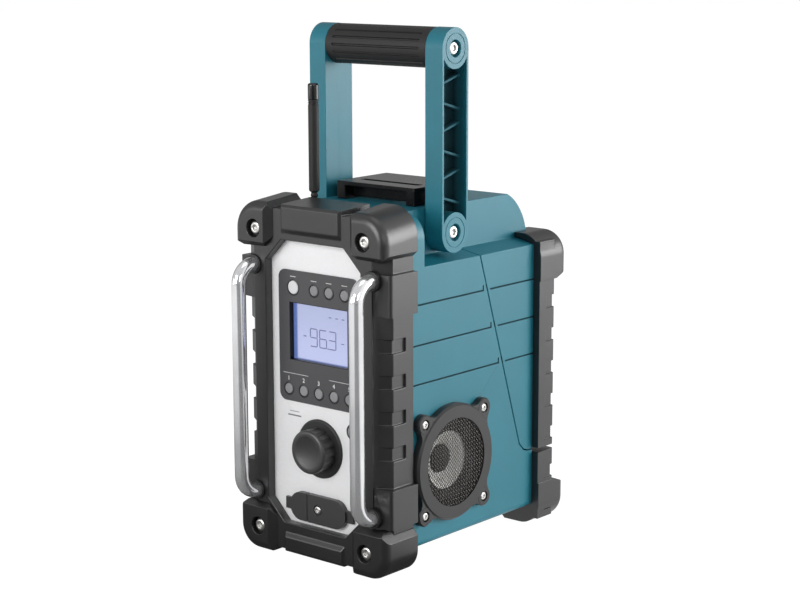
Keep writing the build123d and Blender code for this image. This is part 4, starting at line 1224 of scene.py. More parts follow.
@dataclass
class Display(Assembly):
    """The display: backlight, clear window, digits, small marks, and near-black walls in its recess as
    painted shade.

    Attributes:
        half: Half its width.
        low: Its lower edge.
        high: Its upper edge.
        face: Y of the backlight, just before which the digits lie.
        ink: How far before the backlight the digits' faces and backs are.
        glass: Y of the window's face.
        pane: Thickness of the window.
        mouth: Y where the near-black walls in the recess start.
        wall: Thickness of those walls.
        lip: How far the window reaches behind the bezel.
        reading: The number that it shows.
        start: X and Z of the first digit's lower left corner.
        digit_width: Width of a digit.
        digit_height: Height of a digit.
        digit_gap: Space between digits.
        stroke: Width of a segment.
        point: Left and lower, and right and upper edge of the decimal point, from the next digit's corner.
        marks: Left end, height and length of each small mark.
        segments: The segments that each figure lights: a is the top one, then clockwise, and g the middle.
    """

    half: float = DISPLAY_HALF
    low: float = DISPLAY_FOOT
    high: float = 212.8
    face: float = -92.45
    ink: Span = (0.20, 0.03)
    glass: float = -93.85
    pane: float = 0.9
    mouth: float = -98.0
    wall: float = 0.4
    lip: float = 1.5
    reading: str = "96.3"
    start: Span = (-14.0, 177.5)
    digit_width: float = 7.4
    digit_height: float = 14.5
    digit_gap: float = 2.8
    stroke: float = 0.8
    point: tuple[Span, Span] = ((-1.6, -0.5), (-0.5, 0.6))
    marks: tuple[tuple[float, float, float], ...] = (
        (-22.0, 185.0, 4.0), (19.5, 183.5, 3.6), (6.0, 203.5, 3.5), (13.0, 203.5, 3.5), (20.0, 203.5, 3.5))
    segments: ClassVar[dict[str, str]] = {
        "0": "abcdef", "1": "bc", "2": "abged", "3": "abgcd", "4": "fgbc", "5": "afgcd",
        "6": "afgedc", "7": "abc", "8": "abcdefg", "9": "abcdfg"}

    def bar(self, x0: float, z0: float, x1: float, z1: float) -> bpy.types.Mesh:
        """One segment: a narrow six-sided plate between two points.

        Args:
            x0: X of the first point.
            z0: Z of the first point.
            x1: X of the second point.
            z1: Z of the second point.

        Returns:
            The plate, pointed at both ends.
        """
        start, end = np.array([x0, z0]), np.array([x1, z1])
        run = (end - start) / np.linalg.norm(end - start)
        side = np.array([-run[1], run[0]]) * self.stroke / 2
        nose = run * self.stroke / 2
        a, b = start + nose * 0.4, end - nose * 0.4
        outline = [a, a + nose + side, b - nose + side, b, b - nose - side, a + nose - side]
        return slab("segment", outline, *(self.face - ink for ink in self.ink))

    def digit(self, sign: str, x: float, z: float) -> list[bpy.types.Mesh]:
        """The lit segments of one digit whose lower left corner is at (x, z)."""
        w, h = self.digit_width, self.digit_height
        ends = {"a": (0, h, w, h), "b": (w, h / 2, w, h), "c": (w, 0, w, h / 2), "d": (0, 0, w, 0),
                "e": (0, 0, 0, h / 2), "f": (0, h / 2, 0, h), "g": (0, h / 2, w, h / 2)}
        lit = [ends[letter] for letter in self.segments[sign]]
        return [self.bar(x + x0, z + z0, x + x1, z + z1) for x0, z0, x1, z1 in lit]

    def number(self) -> list[bpy.types.Mesh]:
        """The reading's digits and its decimal point.

        Returns:
            A mesh for each lit segment and for the point.
        """
        made: list[bpy.types.Mesh] = []
        x, z = self.start
        for sign in self.reading:
            if sign == ".":
                low, high = [(x + dx, z + dz) for dx, dz in self.point]
                made.append(plate("point", low, high, *(self.face - ink for ink in self.ink)))
            else:
                made += self.digit(sign, x, z)
                x += self.digit_width + self.digit_gap
        return made

    def recess_shade_walls(self) -> list[bpy.types.Mesh]:
        """Near-black walls round the recess in front of the window, as painted shade where the deep recess
        lies in shade.
        """
        side, low, high, thick = self.half, self.low, self.high, self.wall
        spans = [((-side, low), (-side + thick, high)), ((side - thick, low), (side, high)),
                 ((-side, low), (side, low + thick)), ((-side, high - thick), (side, high))]
        return [plate("wall", *corners, self.mouth, self.glass - 0.02) for corners in spans]

    def build(self, shop: Workshop, palette: Palette) -> None:
        """Make the digits and dress the display."""
        marks = self.number() + [self.bar(left, z, left + long, z) for left, z, long in self.marks]
        shop.piece("display_digits", joined("display_digits", marks), "housing", palette.digit)
        shop.dress("lcd_module", palette.backlight)
        side, low, high = self.half + self.lip, self.low - self.lip, self.high + self.lip
        pane = plate("lcd_pane", (-side, low), (side, high), self.glass, self.glass + self.pane)
        shop.piece("lcd_pane", pane, "housing", palette.window, ["lcd_window"])
        # Painted shade: near-black walls over the recess's sides, darker than the bezel's own colour.
        shop.piece("display_recess_shade", joined("display_recess_shade", self.recess_shade_walls()), "housing", palette.latch)


@dataclass
class Knob(Assembly):
    """The fluted volume knob.

    Attributes:
        z: Height of its axis.
        back: Y of its back.
        face: Y of its face.
        radius: Radius over the ridges.
        bevel: Width of the rim's bevel.
        dish: Radius of the dish in the face.
        dish_depth: Depth of the dish.
        dish_step: How far the dish starts behind the face.
        flutes: How many flutes it has.
        flute_depth: How deep they are.
        flute_share: The part of the pitch that a flute takes.
        run_out: Length over which a flute fades out towards the rim.
        land: Plain wall between the flutes' ends and the rim.
        break_edge: Width of the broken edge at the back.
        columns: Points across one flute and its ridge.
    """

    z: float = 94.6
    back: float = -99.45
    face: float = -113.25
    radius: float = 18.1
    bevel: float = 2.0
    dish: float = 13.3
    dish_depth: float = 2.6
    dish_step: float = 0.12
    flutes: int = 15
    flute_depth: float = 1.1
    flute_share: float = 0.52
    run_out: float = 2.4
    land: float = 0.7
    break_edge: float = 0.3
    columns: int = 16

    def wall(self) -> tuple[Array, Array]:
        """The wall's rows; the flutes' depth rises as a quarter circle from their ends.

        Returns:
            Each row's place along the axis, and the depth of its flutes.
        """
        rim = self.face + self.bevel
        ends = rim + self.land
        full = ends + self.run_out
        wall = np.array([self.back, self.back + self.break_edge, *np.linspace(self.back + 1.0, full + 0.1, 6),
                         *np.linspace(full - 0.4, ends - 0.1, 7), rim])
        reach = np.clip((wall - ends) / self.run_out, 0, 1)
        return wall, self.flute_depth * np.sqrt(reach * (2 - reach))

    def mesh(self) -> bpy.types.Mesh:
        """The knob: radius by depth, less a rounded flute that fades out before the rim.

        Returns:
            The knob's mesh.
        """
        angle = np.arange(self.flutes * self.columns) * TAU / (self.flutes * self.columns)
        place = (angle * self.flutes / TAU) % 1.0 - 0.5
        flute = np.clip(1 - (place / (self.flute_share / 2)) ** 2, 0, 1) ** 0.6
        wall, depth = self.wall()
        wall_radius = np.full(len(wall), self.radius)
        wall_radius[0] -= self.break_edge
        turn = np.linspace(0, math.pi / 2, 8)[1:]
        bevel_y = self.face + self.bevel * (1 - np.sin(turn) ** 1.3)
        bevel_r = self.radius - self.bevel * 1.25 * (1 - np.cos(turn))
        inner = np.linspace(1.0, 0.0, 14)[:-1]
        dish_y = self.face + self.dish_step + self.dish_depth * (1 - inner ** 2)
        lip = np.array([[self.face, self.dish + 0.9], [self.face + 0.05, self.dish + 0.35]])
        along = np.concatenate([wall, bevel_y, lip[:, 0], dish_y])
        radius = np.concatenate([wall_radius, bevel_r, lip[:, 1], self.dish * inner])
        depth = np.concatenate([depth, np.zeros(len(along) - len(wall))])
        rows = np.maximum(radius[:, None] - depth[:, None] * flute[None, :], 0.05)
        return grid_mesh("volume_knob_fluted",
                         about_axis("y", along[:, None], rows, angle[None, :], (0.0, 0.0, self.z)))

    def build(self, shop: Workshop, palette: Palette) -> None:
        """Make the knob and its flange."""
        shop.piece("volume_knob_fluted", self.mesh(), "knob", palette.rubber, ["volume_knob"], 50.0)
        shop.softened("knob_flange", "housing", palette.plastic, 0.4)


class Side(Enum):
    """The side of the radio that a piece is on."""

    RIGHT = 1
    LEFT = -1


@dataclass
class Speaker(Assembly):
    """The outside of one speaker: its ring, the woven wire mesh and the hollows between ring and ears.

    Attributes:
        side: Which side it is on.
        y: Place of its axis along the radio.
        z: Height of its axis.
        mesh_x: X of the mesh's middle, on the right.
        radius: Radius of the mesh.
        pitch: Spacing of the wires.
        wire: Radius of a wire.
        facets: Sides of a wire.
        ring: Outer radius of the ring.
        ear: Each ear's distance from the axis along the radio, and up.
        ear_radius: Radius of an ear.
        fillet: Radius of the hollow between ear and ring.
        wall_x: X of the housing's side.
        neck_x: X of the hollow's face.
    """

    side: Side
    y: float = -21.7
    z: float = 82.0
    mesh_x: float = 80.2
    radius: float = 36.75
    pitch: float = 2.4
    wire: float = 0.28
    facets: int = 4
    ring: float = 48.5
    ear: float = 38.0
    ear_radius: float = 8.4
    fillet: float = 9.0
    wall_x: float = 74.0
    neck_x: float = 80.2

    def strand(self, offset: float, sense: int, crosswise: bool) -> Array:
        """One wire, whose height is the cosine of its length over the pitch and whose ends lie on the rim.

        Args:
            offset: Its distance from the middle.
            sense: One or less one: whether it starts above or below the wires that it crosses.
            crosswise: Whether it is one of the second set, square to the first.

        Returns:
            Rows of points along the wire, turned by 45 degrees; none where it is shorter than the pitch.
        """
        half = math.sqrt(max(self.radius ** 2 - offset ** 2, 0.0))
        steps = int(half / self.pitch)
        if steps < 1:
            return np.empty((0, self.facets, 3))
        angle = (np.arange(self.facets) + 0.5) * TAU / self.facets
        s = np.concatenate([[-half], np.arange(-2 * steps, 2 * steps + 1) * self.pitch / 2, [half]])[:, None]
        height = sense * self.wire * np.cos(math.pi * s / self.pitch) + self.wire * np.sin(angle)
        along, across = np.broadcast_arrays(s, offset + self.wire * np.cos(angle))
        u, v = (across, along) if crosswise else (along, across)
        turn = math.sqrt(2)
        return np.stack([self.mesh_x + height, self.y + (u - v) / turn, self.z + (u + v) / turn], -1)

    def weave(self) -> bpy.types.Mesh:
        """Plain weave set at 45 degrees: each wire passes over and under the ones that it crosses.

        Returns:
            The mesh of all wires.
        """
        count = int(self.radius / self.pitch)
        points, faces, base = [], [], 0
        for crosswise in (False, True):
            for number in range(2 * count + 1):
                sense = 1 if (number + crosswise) % 2 else -1
                grid = self.strand((number - count) * self.pitch, sense, crosswise)
                if len(grid):
                    points.append(grid.reshape(-1, 3))
                    faces.append(grid_faces(len(grid), self.facets) + base)
                    base += len(grid) * self.facets
        mesh = new_mesh("speaker_weave", np.concatenate(points), np.concatenate(faces).tolist())
        outward(mesh)
        return mesh

    def necks(self) -> list[bpy.types.Mesh]:
        """The hollow fillets where the ring runs into its four ears.

        Each is a plate between the ring's circle, an ear's circle and an arc that touches both.

        Returns:
            Eight small plates on the right-hand side.
        """
        reach = math.hypot(self.ear, self.ear)
        to_arc = self.ring + self.fillet
        cosine = (reach ** 2 + to_arc ** 2 - (self.ear_radius + self.fillet) ** 2) / (2 * reach * to_arc)
        centre = to_arc * np.array([cosine, math.sqrt(1 - cosine ** 2)])
        towards_ear = np.array([reach, 0.0]) - centre
        start, end = math.atan2(-centre[1], -centre[0]), math.atan2(towards_ear[1], towards_ear[0])
        turn = np.linspace(start, end, 12)
        arc = centre + self.fillet * np.stack([np.cos(turn), np.sin(turn)], -1)
        outline = np.concatenate([arc, [[reach - 2.0, 2.0], [self.ring - 4.0, 3.0]]])
        made = []
        for quarter in (1, 3, 5, 7):
            cos, sin = math.cos(quarter * TAU / 8), math.sin(quarter * TAU / 8)
            for hand in (1.0, -1.0):
                out, side = outline[:, 0], outline[:, 1] * hand
                y, z = self.y + out * cos - side * sin, self.z + out * sin + side * cos
                rows = [np.stack([np.full(len(y), x), y, z], -1) for x in (self.wall_x, self.neck_x)]
                made.append(grid_mesh("neck", np.stack(rows)))
        return made

    def build(self, shop: Workshop, palette: Palette) -> None:
        """Make the speaker's pieces."""
        word = self.side.name.lower()
        mesh, necks = self.weave(), joined("necks", self.necks())
        if self.side is Side.LEFT:
            mesh, necks = mirrored(mesh, "speaker_weave_left"), mirrored(necks, "necks_left")
        shop.piece(f"speaker_weave_{word}", mesh, "housing", palette.mesh, [f"speaker_mesh_{word}"])
        ring = f"speaker_ring_{word}"
        shop.piece(f"{ring}_moulded", shop.clean_copy(ring), "housing", palette.plastic, [ring], 20.0)
        shop.piece(f"speaker_ear_necks_{word}", necks, "housing", palette.plastic)


@dataclass
class Drivers(Assembly):
    """The moving parts of both speakers: cone, dust cap and rolled surround.

    Attributes:
        rim: Radius of the cone's rim.
        throat: Radius where the cone meets the voice coil.
        rim_x: X of the rim on the right.
        throat_x: X of the throat.
        lap: How far the cone and the cap reach past their seams.
        cap: Radius of the dust cap.
        cap_foot: X of the dust cap's edge.
        cap_top: X of the dust cap's top.
        roll: Outer radius of the surround's roll.
        roll_height: How far the roll stands out.
        roll_inset: How far the roll starts outside the cone's rim.
        slope: How much further out the surround lies at its outside.
        collar: X where the surround's outer collar ends.
    """

    rim: float = 25.0
    throat: float = 12.0
    rim_x: float = 70.5
    throat_x: float = 62.7
    lap: float = 0.8
    cap: float = 11.0
    cap_foot: float = 63.6
    cap_top: float = 68.5
    roll: float = 37.0
    roll_height: float = 3.6
    roll_inset: float = 0.4
    slope: float = 0.9
    collar: float = 77.9

    def skins(self, name: str, along: Array, radius: Array, thick: float) -> bpy.types.Mesh:
        """A turned skin on both sides of the radio.

        Args:
            name: The mesh's name.
            along: X of each point of its front, on the right.
            radius: Distance of each point from the speaker's axis.
            thick: The skin's thickness.

        Returns:
            Both skins as one mesh.
        """
        speaker = Speaker(Side.RIGHT)
        front = np.stack([along, radius], -1)
        profile = np.concatenate([front, front[::-1] - [thick, 0.0], front[:1]])
        right = turned(name, "x", profile, (0.0, speaker.y, speaker.z), 96)
        return joined(name, [right, mirrored(right, name)])

    def cones(self) -> bpy.types.Mesh:
        """Both cones, slightly curved from the rim to the throat."""
        radius = np.linspace(self.rim + 0.6, self.throat, 14)
        fall = np.clip((self.rim - radius) / (self.rim - self.throat), 0.0, 1.0) ** 1.1
        return self.skins("cones", self.rim_x - (self.rim_x - self.throat_x) * fall, radius, 0.7)

    def caps(self) -> bpy.types.Mesh:
        """Both dust caps, each half an ellipse turned about the axis."""
        edge = self.cap + self.lap
        radius = np.linspace(edge, 0.05, 14)
        dome = np.sqrt(1.0 - np.clip(radius / edge, 0.0, 1.0) ** 2)
        return self.skins("caps", self.cap_foot + (self.cap_top - self.cap_foot) * dome, radius, 0.5)

    def surrounds(self) -> bpy.types.Mesh:
        """Both surrounds: half a sine wave across the roll, and a collar round it.

        Returns:
            Both surrounds as one mesh.
        """
        inside, width = self.rim - self.lap, self.roll - self.rim
        radius = np.concatenate([np.linspace(inside, self.roll, 20), [self.roll + 0.5, self.roll + 0.9]])
        across = (radius - self.rim - self.roll_inset) / (width - self.roll_inset)
        base = self.rim_x + 0.5 + self.slope * (radius - inside) / width
        base[-1] = self.collar
        along = base + self.roll_height * np.sin(math.pi * np.clip(across, 0.0, 1.0))
        return self.skins("surrounds", along, radius, 0.45)

    def build(self, shop: Workshop, palette: Palette) -> None:
        """Make the cones, the dust caps and the surrounds."""
        shop.piece("speaker_cones_pressed", self.cones(), "housing", palette.paper, ["speaker_cones"])
        shop.piece("speaker_dust_caps", self.caps(), "housing", palette.cloth)
        shop.piece("speaker_surrounds", self.surrounds(), "housing", palette.cloth)


@dataclass
class Handle(Assembly):
    """The folding handle: two ribbed arms and a slotted rubber grip.

    Attributes:
        y: Place of its arms along the radio.
        grip_z: Height of the grip's axis.
        half: Half the grip's length.
        radius: The grip's radius.
        slots: Slots round the grip.
        slot_depth: Their depth.
        slot_width: Their width.
        slot_end: How far they stop short of the ends.
        slot_slope: Width of their slanted edges.
        end_edge: Width of the broken edge at the grip's ends.
        columns: Points across one slot and the land beside it.
        arm_edge: Rounding of the arms' edges.
    """

    y: float = HANDLE_Y
    grip_z: float = 416.6
    half: float = 53.7
    radius: float = 16.5
    slots: int = 16
    slot_depth: float = 1.3
    slot_width: float = 1.5
    slot_end: float = 7.0
    slot_slope: float = 0.5
    end_edge: float = 0.4
    columns: int = 24
    arm_edge: float = 0.7

    def grip(self) -> bpy.types.Mesh:
        """The sleeve: a round bar whose radius drops in each slot between its rounded ends.

        Returns:
            The sleeve's mesh.
        """
        angle = np.arange(self.slots * self.columns) * TAU / (self.slots * self.columns)
        around = ((angle * self.slots / TAU + 0.5) % 1.0 - 0.5) * TAU * self.radius / self.slots
        reach = self.half - self.slot_end
        ends = [end - side * inset for side, end in ((-1, -self.half), (1, self.half))
                for inset in (0.0, self.end_edge)]
        slot_ends = [side * (reach + np.linspace(-1.2, 1.0, 12)) for side in (-1, 1)]
        x = np.unique(np.round(np.concatenate([ends, np.linspace(-reach, reach, 25), *slot_ends]), 4))
        past = np.maximum(np.abs(x)[:, None] - (reach - self.slot_width / 2), 0)
        distance = np.hypot(past, around[None, :]) - self.slot_width / 2
        slot = 1 - np.clip(distance / self.slot_slope + 0.5, 0, 1)
        end = np.clip((self.half - np.abs(x)) / self.end_edge, 0, 1)
        radius = self.radius - self.end_edge * (1 - end)[:, None] - self.slot_depth * slot
        points = about_axis("x", x[:, None], radius, angle[None, :], (0.0, self.y, self.grip_z))
        return grid_mesh("handle_grip_sleeve", points)

    def build(self, shop: Workshop, palette: Palette) -> None:
        """Make the handle's pieces."""
        for word in ("right", "left"):
            shop.softened(f"handle_arm_{word}", "handle", palette.arm, self.arm_edge)
        shop.piece("handle_grip_sleeve", self.grip(), "handle", palette.grip, ["handle_grip"], 40.0)
        shop.dress("handle_tube", palette.plastic)


@dataclass(frozen=True)
class ButtonScrew:
    """A button-head screw with a hexagon socket, lying along one axis.

    Attributes:
        axis: The axis that it lies along.
        end: Where its shank ends on that axis.
        seat: Where the head's underside lies.
        face: Where the head's top lies.
        radius: The head's radius.
        shank: The shank's radius.
        socket: The socket's radius over its corners.
        depth: The socket's depth.
    """

    axis: str
    end: float
    seat: float
    face: float
    radius: float
    shank: float
    socket: float
    depth: float

    def mesh(self, centre: Sequence[float]) -> bpy.types.Mesh:
        """The screw as one grid: shank, domed head, hexagon socket.

        The head is a straight side of 0.3 of its height under a quarter of an ellipse, and the socket's
        radius is its flat's distance over the cosine of the angle from the nearest flat.

        Args:
            centre: A point on its axis.

        Returns:
            The mesh.
        """
        out = math.copysign(1.0, self.face - self.seat)
        height = abs(self.face - self.seat)
        angle = np.arange(72) * TAU / 72
        hexagon = self.socket * math.cos(TAU / 12) / np.cos(angle % (TAU / 6) - TAU / 12)
        turn = np.linspace(0.0, math.pi / 2, 9)
        flat = self.socket * 1.25
        rounds = [(-abs(self.seat - self.end), self.shank), (0.0, self.shank), (0.0, self.radius)]
        rounds += [(height * (0.3 + 0.7 * math.sin(t)), flat + (self.radius - flat) * math.cos(t))
                   for t in turn]
        floor = height - self.depth
        hollow = [(height, 1.08), (height - 0.12, 1.0), (floor, 1.0), (floor - 0.4, 0.02)]
        along = np.array([h for h, _ in rounds + hollow]) * out + self.seat
        radii = np.concatenate([
            np.repeat(np.array([[r] for _, r in rounds]), len(angle), axis=1),
            np.array([[share] for _, share in hollow]) * hexagon,
        ])
        return grid_mesh("screw", about_axis(self.axis, along[:, None], radii, angle[None, :], centre))


@dataclass
class TopParts(Assembly):
    """The latch and the antenna.

    Attributes:
        edge: Rounding of the latch's edges.
        latch_front: Y of the latch's front edge.
        latch_back: Y of its rear edge.
        latch_side: X of its side.
        latch_taper: How much each side draws in towards the rear.
        antenna_x: X of the antenna's axis.
        antenna_y: Y of the antenna's axis.
        radius: The antenna's radius.
        ball_z: Height of its ball's centre.
        ball: The ball's radius.
        neck: Radius above the ball.
        grooves: How far the two grooves start below the cap.
        groove_depth: Depth of a groove.
        cap_z: Height where the cap starts.
        top: The antenna's top.
    """

    edge: float = 0.8
    latch_front: float = -28.2
    latch_back: float = 37.8
    latch_side: float = 48.0
    latch_taper: float = 4.0
    antenna_x: float = -44.4
    antenna_y: float = -53.4
    radius: float = 4.4
    ball_z: float = 294.0
    ball: float = 3.0
    neck: float = 2.6
    grooves: Span = (4.2, 2.4)
    groove_depth: float = 0.5
    cap_z: float = 373.0
    top: float = 386.5

    def rod(self) -> list[tuple[float, float]]:
        """The rod's profile: ball, neck, taper, a straight run and two grooves below the cap.

        Returns:
            Pairs of height and radius, from the ball upwards.
        """
        turn = np.linspace(-math.pi / 2 + 0.1, math.acos(self.neck / self.ball), 10)
        profile = [(self.ball_z + self.ball * math.sin(t), self.ball * math.cos(t)) for t in turn]
        profile += [(self.ball_z + 2.4, self.neck), (self.ball_z + 4.0, self.radius)]
        floor = self.radius - self.groove_depth
        for low in (self.cap_z - below for below in self.grooves):
            profile += [(low, self.radius), (low + 0.2, floor), (low + 0.7, floor), (low + 0.9, self.radius)]
        return [*profile, (self.cap_z - 0.3, self.radius), (self.cap_z, self.radius - 0.3)]

    def cap(self) -> list[tuple[float, float]]:
        """The cap's profile: straight, then rounded over to a nearly flat top."""
        turn = np.linspace(0.0, math.pi / 2, 9)
        round_over = [(self.top - 2.2 + 2.0 * math.sin(t), self.radius - 1.8 + 1.9 * math.cos(t))
                      for t in turn]
        start = [(self.cap_z, self.radius - 0.2), (self.cap_z + 0.3, self.radius + 0.1)]
        return [*start, *round_over, (self.top, 0.05)]

    def taper(self, mesh: bpy.types.Mesh) -> None:
        """Narrow the latch a little towards its rear end: its sides move in by a share of its length.

        Args:
            mesh: The latch's mesh.
        """
        flat = np.empty(len(mesh.vertices) * 3, np.float32)
        mesh.vertices.foreach_get("co", flat)
        points = flat.reshape(-1, 3)
        side, along = points[:, 0] / MM, points[:, 1] / MM
        share = np.clip((along - self.latch_front) / (self.latch_back - self.latch_front), 0.0, 1.0)
        on_side = np.abs(side) > self.latch_side - 1.0
        points[:, 0] -= np.sign(side) * on_side * share * self.latch_taper * MM
        mesh.vertices.foreach_set("co", points.ravel())
        mesh.update()

    def build(self, shop: Workshop, palette: Palette) -> None:
        """Make the pieces on top of the radio."""
        self.taper(shop.softened("battery_latch", "latch", palette.latch, self.edge).data)
        for node, profile, finish in (("antenna_rod", self.rod(), palette.grip),
                                      ("antenna_cap", self.cap(), palette.gloss)):
            mesh = turned(node, "z", profile, (self.antenna_x, self.antenna_y, 0.0))
            shop.piece(f"{node}_turned", mesh, "antenna", finish, [node])
        shop.softened("antenna_mount", "housing", palette.plastic, 0.4, 2)
        shop.dress("latch_pin", palette.steel)


@dataclass
class Fasteners(Assembly):
    """Every visible screw, each set in place of its node."""

    def row(self, screw: ButtonScrew, centres: Sequence[Sequence[float]]) -> list[bpy.types.Mesh]:
        """One kind of screw at each centre and at its mirror image."""
        right = [screw.mesh(centre) for centre in centres]
        return right + [mirrored(mesh, "screw") for mesh in right]

    def build(self, shop: Workshop, palette: Palette) -> None:
        """Make all the screws."""
        handle, speaker = Handle(), Speaker(Side.RIGHT)
        ears = [(0.0, speaker.y + across * speaker.ear, speaker.z + up * speaker.ear)
                for across in (-1, 1) for up in (-1, 1)]
        bumper = ButtonScrew("y", end=-94.75, seat=-104.95, face=-109.35,
                             radius=5.9, shank=2.5, socket=2.7, depth=2.0)
        ring = ButtonScrew("x", end=74.0, seat=77.9, face=80.2, radius=3.7, shank=1.6, socket=1.7, depth=1.3)
        cover = ButtonScrew("y", end=-94.75, seat=-100.05, face=-102.25,
                            radius=3.6, shank=1.6, socket=1.8, depth=1.3)
        grip = ButtonScrew("x", end=39.7, seat=67.3, face=70.1, radius=5.6, shank=2.5, socket=2.9, depth=1.9)
        pivot = ButtonScrew("x", end=42.8, seat=67.3, face=70.1, radius=5.6, shank=4.0, socket=2.9, depth=1.9)
        sets = {
            "front_bumper_screws": ("housing", self.row(bumper, [(59.0, 0.0, 21.0), (59.0, 0.0, 272.0)])),
            "speaker_ring_screws": ("housing", self.row(ring, ears)),
            "aux_cover_screw": ("housing", [cover.mesh((0.0, 0.0, 43.4))]),
            "handle_grip_screws": ("handle", self.row(grip, [(0.0, handle.y, handle.grip_z)])),
            "handle_pivot_bolts": ("housing", self.row(pivot, [(0.0, handle.y, 269.3)])),
        }
        for node, (body, meshes) in sets.items():
            shop.piece(f"{node}_turned", joined(node, meshes), body, palette.steel, [node], 40.0)


@dataclass
class Inside(Assembly):
    """What is behind the panel, the speakers and the door."""

    def build(self, shop: Workshop, palette: Palette) -> None:
        """Dress the nodes inside the radio."""
        finishes = {
            "control_board": palette.board, "main_board": palette.board, "encoder_body": palette.steel,
            "encoder_shaft": palette.steel, "speaker_baskets": palette.plastic,
            "speaker_magnets": palette.magnet, "door_hinge_pin": palette.steel,
            "battery_pack": palette.pack, "battery_terminal": palette.terminal, "dc_jack": palette.plastic,
        }
        for node, finish in finishes.items():
            shop.dress(node, finish)


# ------------------------------------------------------------------ studio
Point = tuple[float, float, float]


@dataclass(frozen=True)
class Lamp:
    """A soft rectangular lamp.

    Attributes:
        name: Its name.
        place: Where it is, in metres.
        size: Width and height in metres.
        power: Watts.
        aim: What it points at, in metres.
    """

    name: str
    place: Point
    size: Span
    power: float
    aim: Point = (0.0, 0.0, 0.2)

    def build(self) -> None:
        """Create the lamp and turn it to what it points at."""
        data = bpy.data.lights.new(self.name, "AREA")
        data.shape = "RECTANGLE"
        data.size, data.size_y = self.size
        data.energy = self.power
        thing = bpy.data.objects.new(self.name, data)
        bpy.context.scene.collection.objects.link(thing)
        line = Vector(self.aim) - Vector(self.place)
        thing.rotation_euler = line.to_track_quat("-Z", "Y").to_euler()
        thing.location = self.place


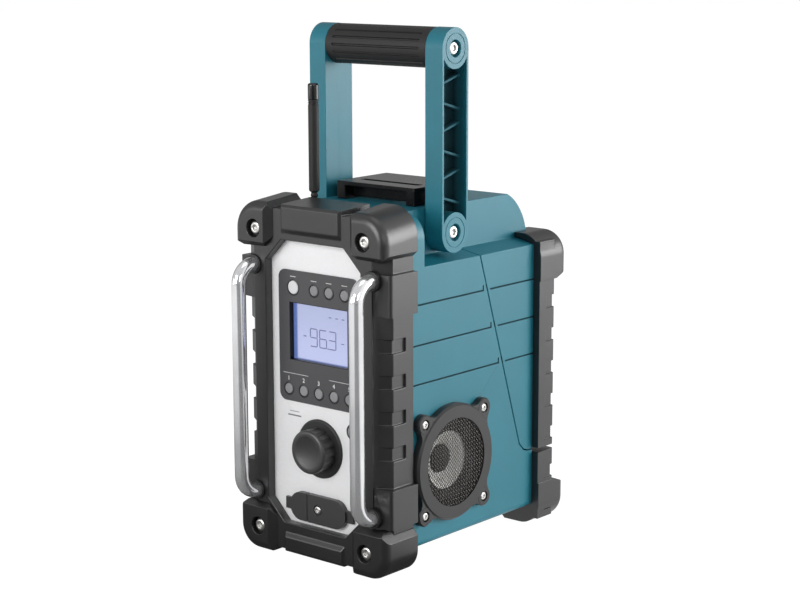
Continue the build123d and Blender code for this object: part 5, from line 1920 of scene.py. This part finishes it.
@dataclass
class Studio:
    """Camera, lights, floor and world.

    Attributes:
        place: The camera's place in metres.
        yaw: Its turn about the vertical, in radians.
        pitch: Its tilt from the horizontal, in radians.
        roll: Its turn about its own line of sight, in radians.
        lens: Its focal length in millimetres on a 36 mm sensor.
        across: How far a level step towards the camera goes along X.
        along: How far it goes along -Y.
        lamps: A strong softbox behind the right side, a wide one in front, and weak ones from the left
            rear, low on the left, by the right front corner and above.
        ambient: The world's strength as light on the object.
        mirror_front: What mirrors find straight ahead of them, as a share of white.
        floor_half: Half the floor's width.
        floor_glow: How bright the floor glows for the camera.
        mirror_glow: How bright it glows for mirrors at least.
        shown: Share of the floor's glow that the camera and mirrors see; the rest is shadowed paint.
    """

    place: Point = (1.03188, -1.20771, 0.50902)
    yaw: float = 0.705792
    pitch: float = -0.190075
    roll: float = -0.002982
    lens: float = 86.637
    across: float = 0.65
    along: float = 0.76
    lamps: tuple[Lamp, ...] = (
        Lamp("right_softbox", (1.85, 1.45, 0.5), (1.7, 1.7), 64.0),
        Lamp("left_softbox", (-1.5, 1.5, 0.75), (1.0, 1.1), 0.8),
        Lamp("front_softbox", (-0.3, -2.3, 1.0), (1.2, 1.2), 32.0),
        Lamp("low_softbox", (-1.7, -2.0, 0.55), (1.2, 0.7), 5.0, (0.0, 0.0, 0.35)),
        Lamp("corner_softbox", (1.7, -1.2, 0.9), (0.8, 0.8), 5.0),
        Lamp("top_softbox", (0.2, -0.2, 2.0), (1.0, 1.0), 3.0),
    )
    ambient: float = 0.16
    mirror_front: float = 0.55
    floor_half: float = 9000.0
    floor_glow: float = 1.23
    mirror_glow: float = 0.05
    shown: Span = (0.8, 0.9)

    def camera(self) -> None:
        """Create the camera and make it the scene's."""
        data = bpy.data.cameras.new("camera")
        data.lens = self.lens
        data.sensor_width = 36.0
        data.clip_start, data.clip_end = 0.05, 50.0
        thing = bpy.data.objects.new("camera", data)
        bpy.context.scene.collection.objects.link(thing)
        turn = (Matrix.Rotation(self.yaw, 4, "Z") @ Matrix.Rotation(math.pi / 2 + self.pitch, 4, "X")
                @ Matrix.Rotation(self.roll, 4, "Z"))
        thing.matrix_world = Matrix.Translation(self.place) @ turn
        bpy.context.scene.camera = thing

    def bearings(self, graph: Graph, direction: Wire) -> tuple[Wire, Wire]:
        """How far a direction goes away from the camera, and how far to the right rear of the radio."""
        east, north = graph.parts(direction, "XY")
        return north * self.along - east * self.across, east * self.across + north * self.along

    def world(self) -> None:
        """White for the camera, and dim as light; mirrors find it dark behind the camera and opposite it."""
        world = bpy.data.worlds.new("studio_world")
        world.use_nodes = True
        bpy.context.scene.world = world
        graph = Graph(world.node_tree)
        camera, clear, glossy = graph.rays("Camera", "Transmission", "Glossy")
        direction = Wire(graph, graph.node("ShaderNodeTexCoord").outputs["Generated"])
        away, rear = self.bearings(graph, direction)
        shade = away.step(0.2, 0.9) * 0.75 + (away * -1.0).step(0.75, 0.98) * 0.8
        pale = self.mirror_front + rear.step(0.0, 0.7) * (1.0 - self.mirror_front)
        mirror = glossy * pale * (1.0 - shade)
        strength = self.ambient + camera.largest(clear).largest(mirror) * (1.0 - self.ambient)
        back = graph.node("ShaderNodeBackground", None, {"Color": WHITE, "Strength": strength})
        graph.node("ShaderNodeOutputWorld", None, {"Surface": Wire(graph, back.outputs[0])})

    def floor_finish(self) -> bpy.types.Material:
        """Pale paint under a glow: white for the camera, and for mirrors darker near the radio.

        Returns:
            The floor's material.
        """
        material = bpy.data.materials.new("floor_white")
        material.use_nodes = True
        graph = Graph(material.node_tree)
        tone = graph.tint(graph.noise(3.0), (0.80, 0.80, 0.80), (0.84, 0.84, 0.84))
        paint = graph.node("ShaderNodeBsdfDiffuse", None, {"Color": tone})
        camera, mirror = graph.rays("Camera", "Glossy")
        length = graph.node("ShaderNodeVectorMath", {"operation": "LENGTH"}, {0: graph.place()})
        unit = graph.node("ShaderNodeVectorMath", {"operation": "NORMALIZE"}, {0: graph.place()})
        away, rear = self.bearings(graph, Wire(graph, unit.outputs["Vector"]))
        far = Wire(graph, length.outputs["Value"]).step(0.1, 1.1) * 0.8
        dimmed = 1.0 - (away * -1.0).step(0.80, 0.97) * 0.9
        reflected = far.largest(rear.step(0.0, 0.6) * 0.9) * dimmed + self.mirror_glow
        strength = camera * self.floor_glow + mirror * reflected
        glow = graph.node("ShaderNodeEmission", None, {"Color": WHITE, "Strength": strength})
        seen = camera * self.shown[0] + mirror * self.shown[1]
        ends = {0: seen, 1: Wire(graph, paint.outputs[0]), 2: Wire(graph, glow.outputs[0])}
        mixed = graph.node("ShaderNodeMixShader", None, ends)
        graph.node("ShaderNodeOutputMaterial", None, {"Surface": Wire(graph, mixed.outputs[0])})
        return material

    def floor(self) -> None:
        """A wide pale floor."""
        corners = np.array([[-1, -1, 0], [1, -1, 0], [1, 1, 0], [-1, 1, 0]]) * self.floor_half
        mesh = new_mesh("floor", corners, [[0, 1, 2, 3]])
        thing = bpy.data.objects.new("floor", mesh)
        bpy.context.scene.collection.objects.link(thing)
        mesh.materials.append(self.floor_finish())

    def build(self) -> None:
        """Make the whole studio."""
        bpy.context.scene.view_settings.view_transform = "Standard"
        self.camera()
        for lamp in self.lamps:
            lamp.build()
        self.world()
        self.floor()


def main() -> None:
    """Build the radio's looks in order and report each piece."""
    logging.basicConfig(level=logging.INFO, format="%(name)s: %(message)s")
    for thing in list(bpy.data.objects):
        bpy.data.objects.remove(thing)
    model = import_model()
    palette = Palette()
    shop = Workshop(model)
    Studio().build()
    assemblies = (Shell(), Armour(), GuardBar(), Controls(), Display(), Knob(), Speaker(Side.RIGHT),
                  Speaker(Side.LEFT), Drivers(), Handle(), TopParts(), Fasteners(), Inside())
    for assembly in assemblies:
        assembly.build(shop, palette)
        log.info("built %s", type(assembly).__name__)


if __name__ == "__main__":
    main()
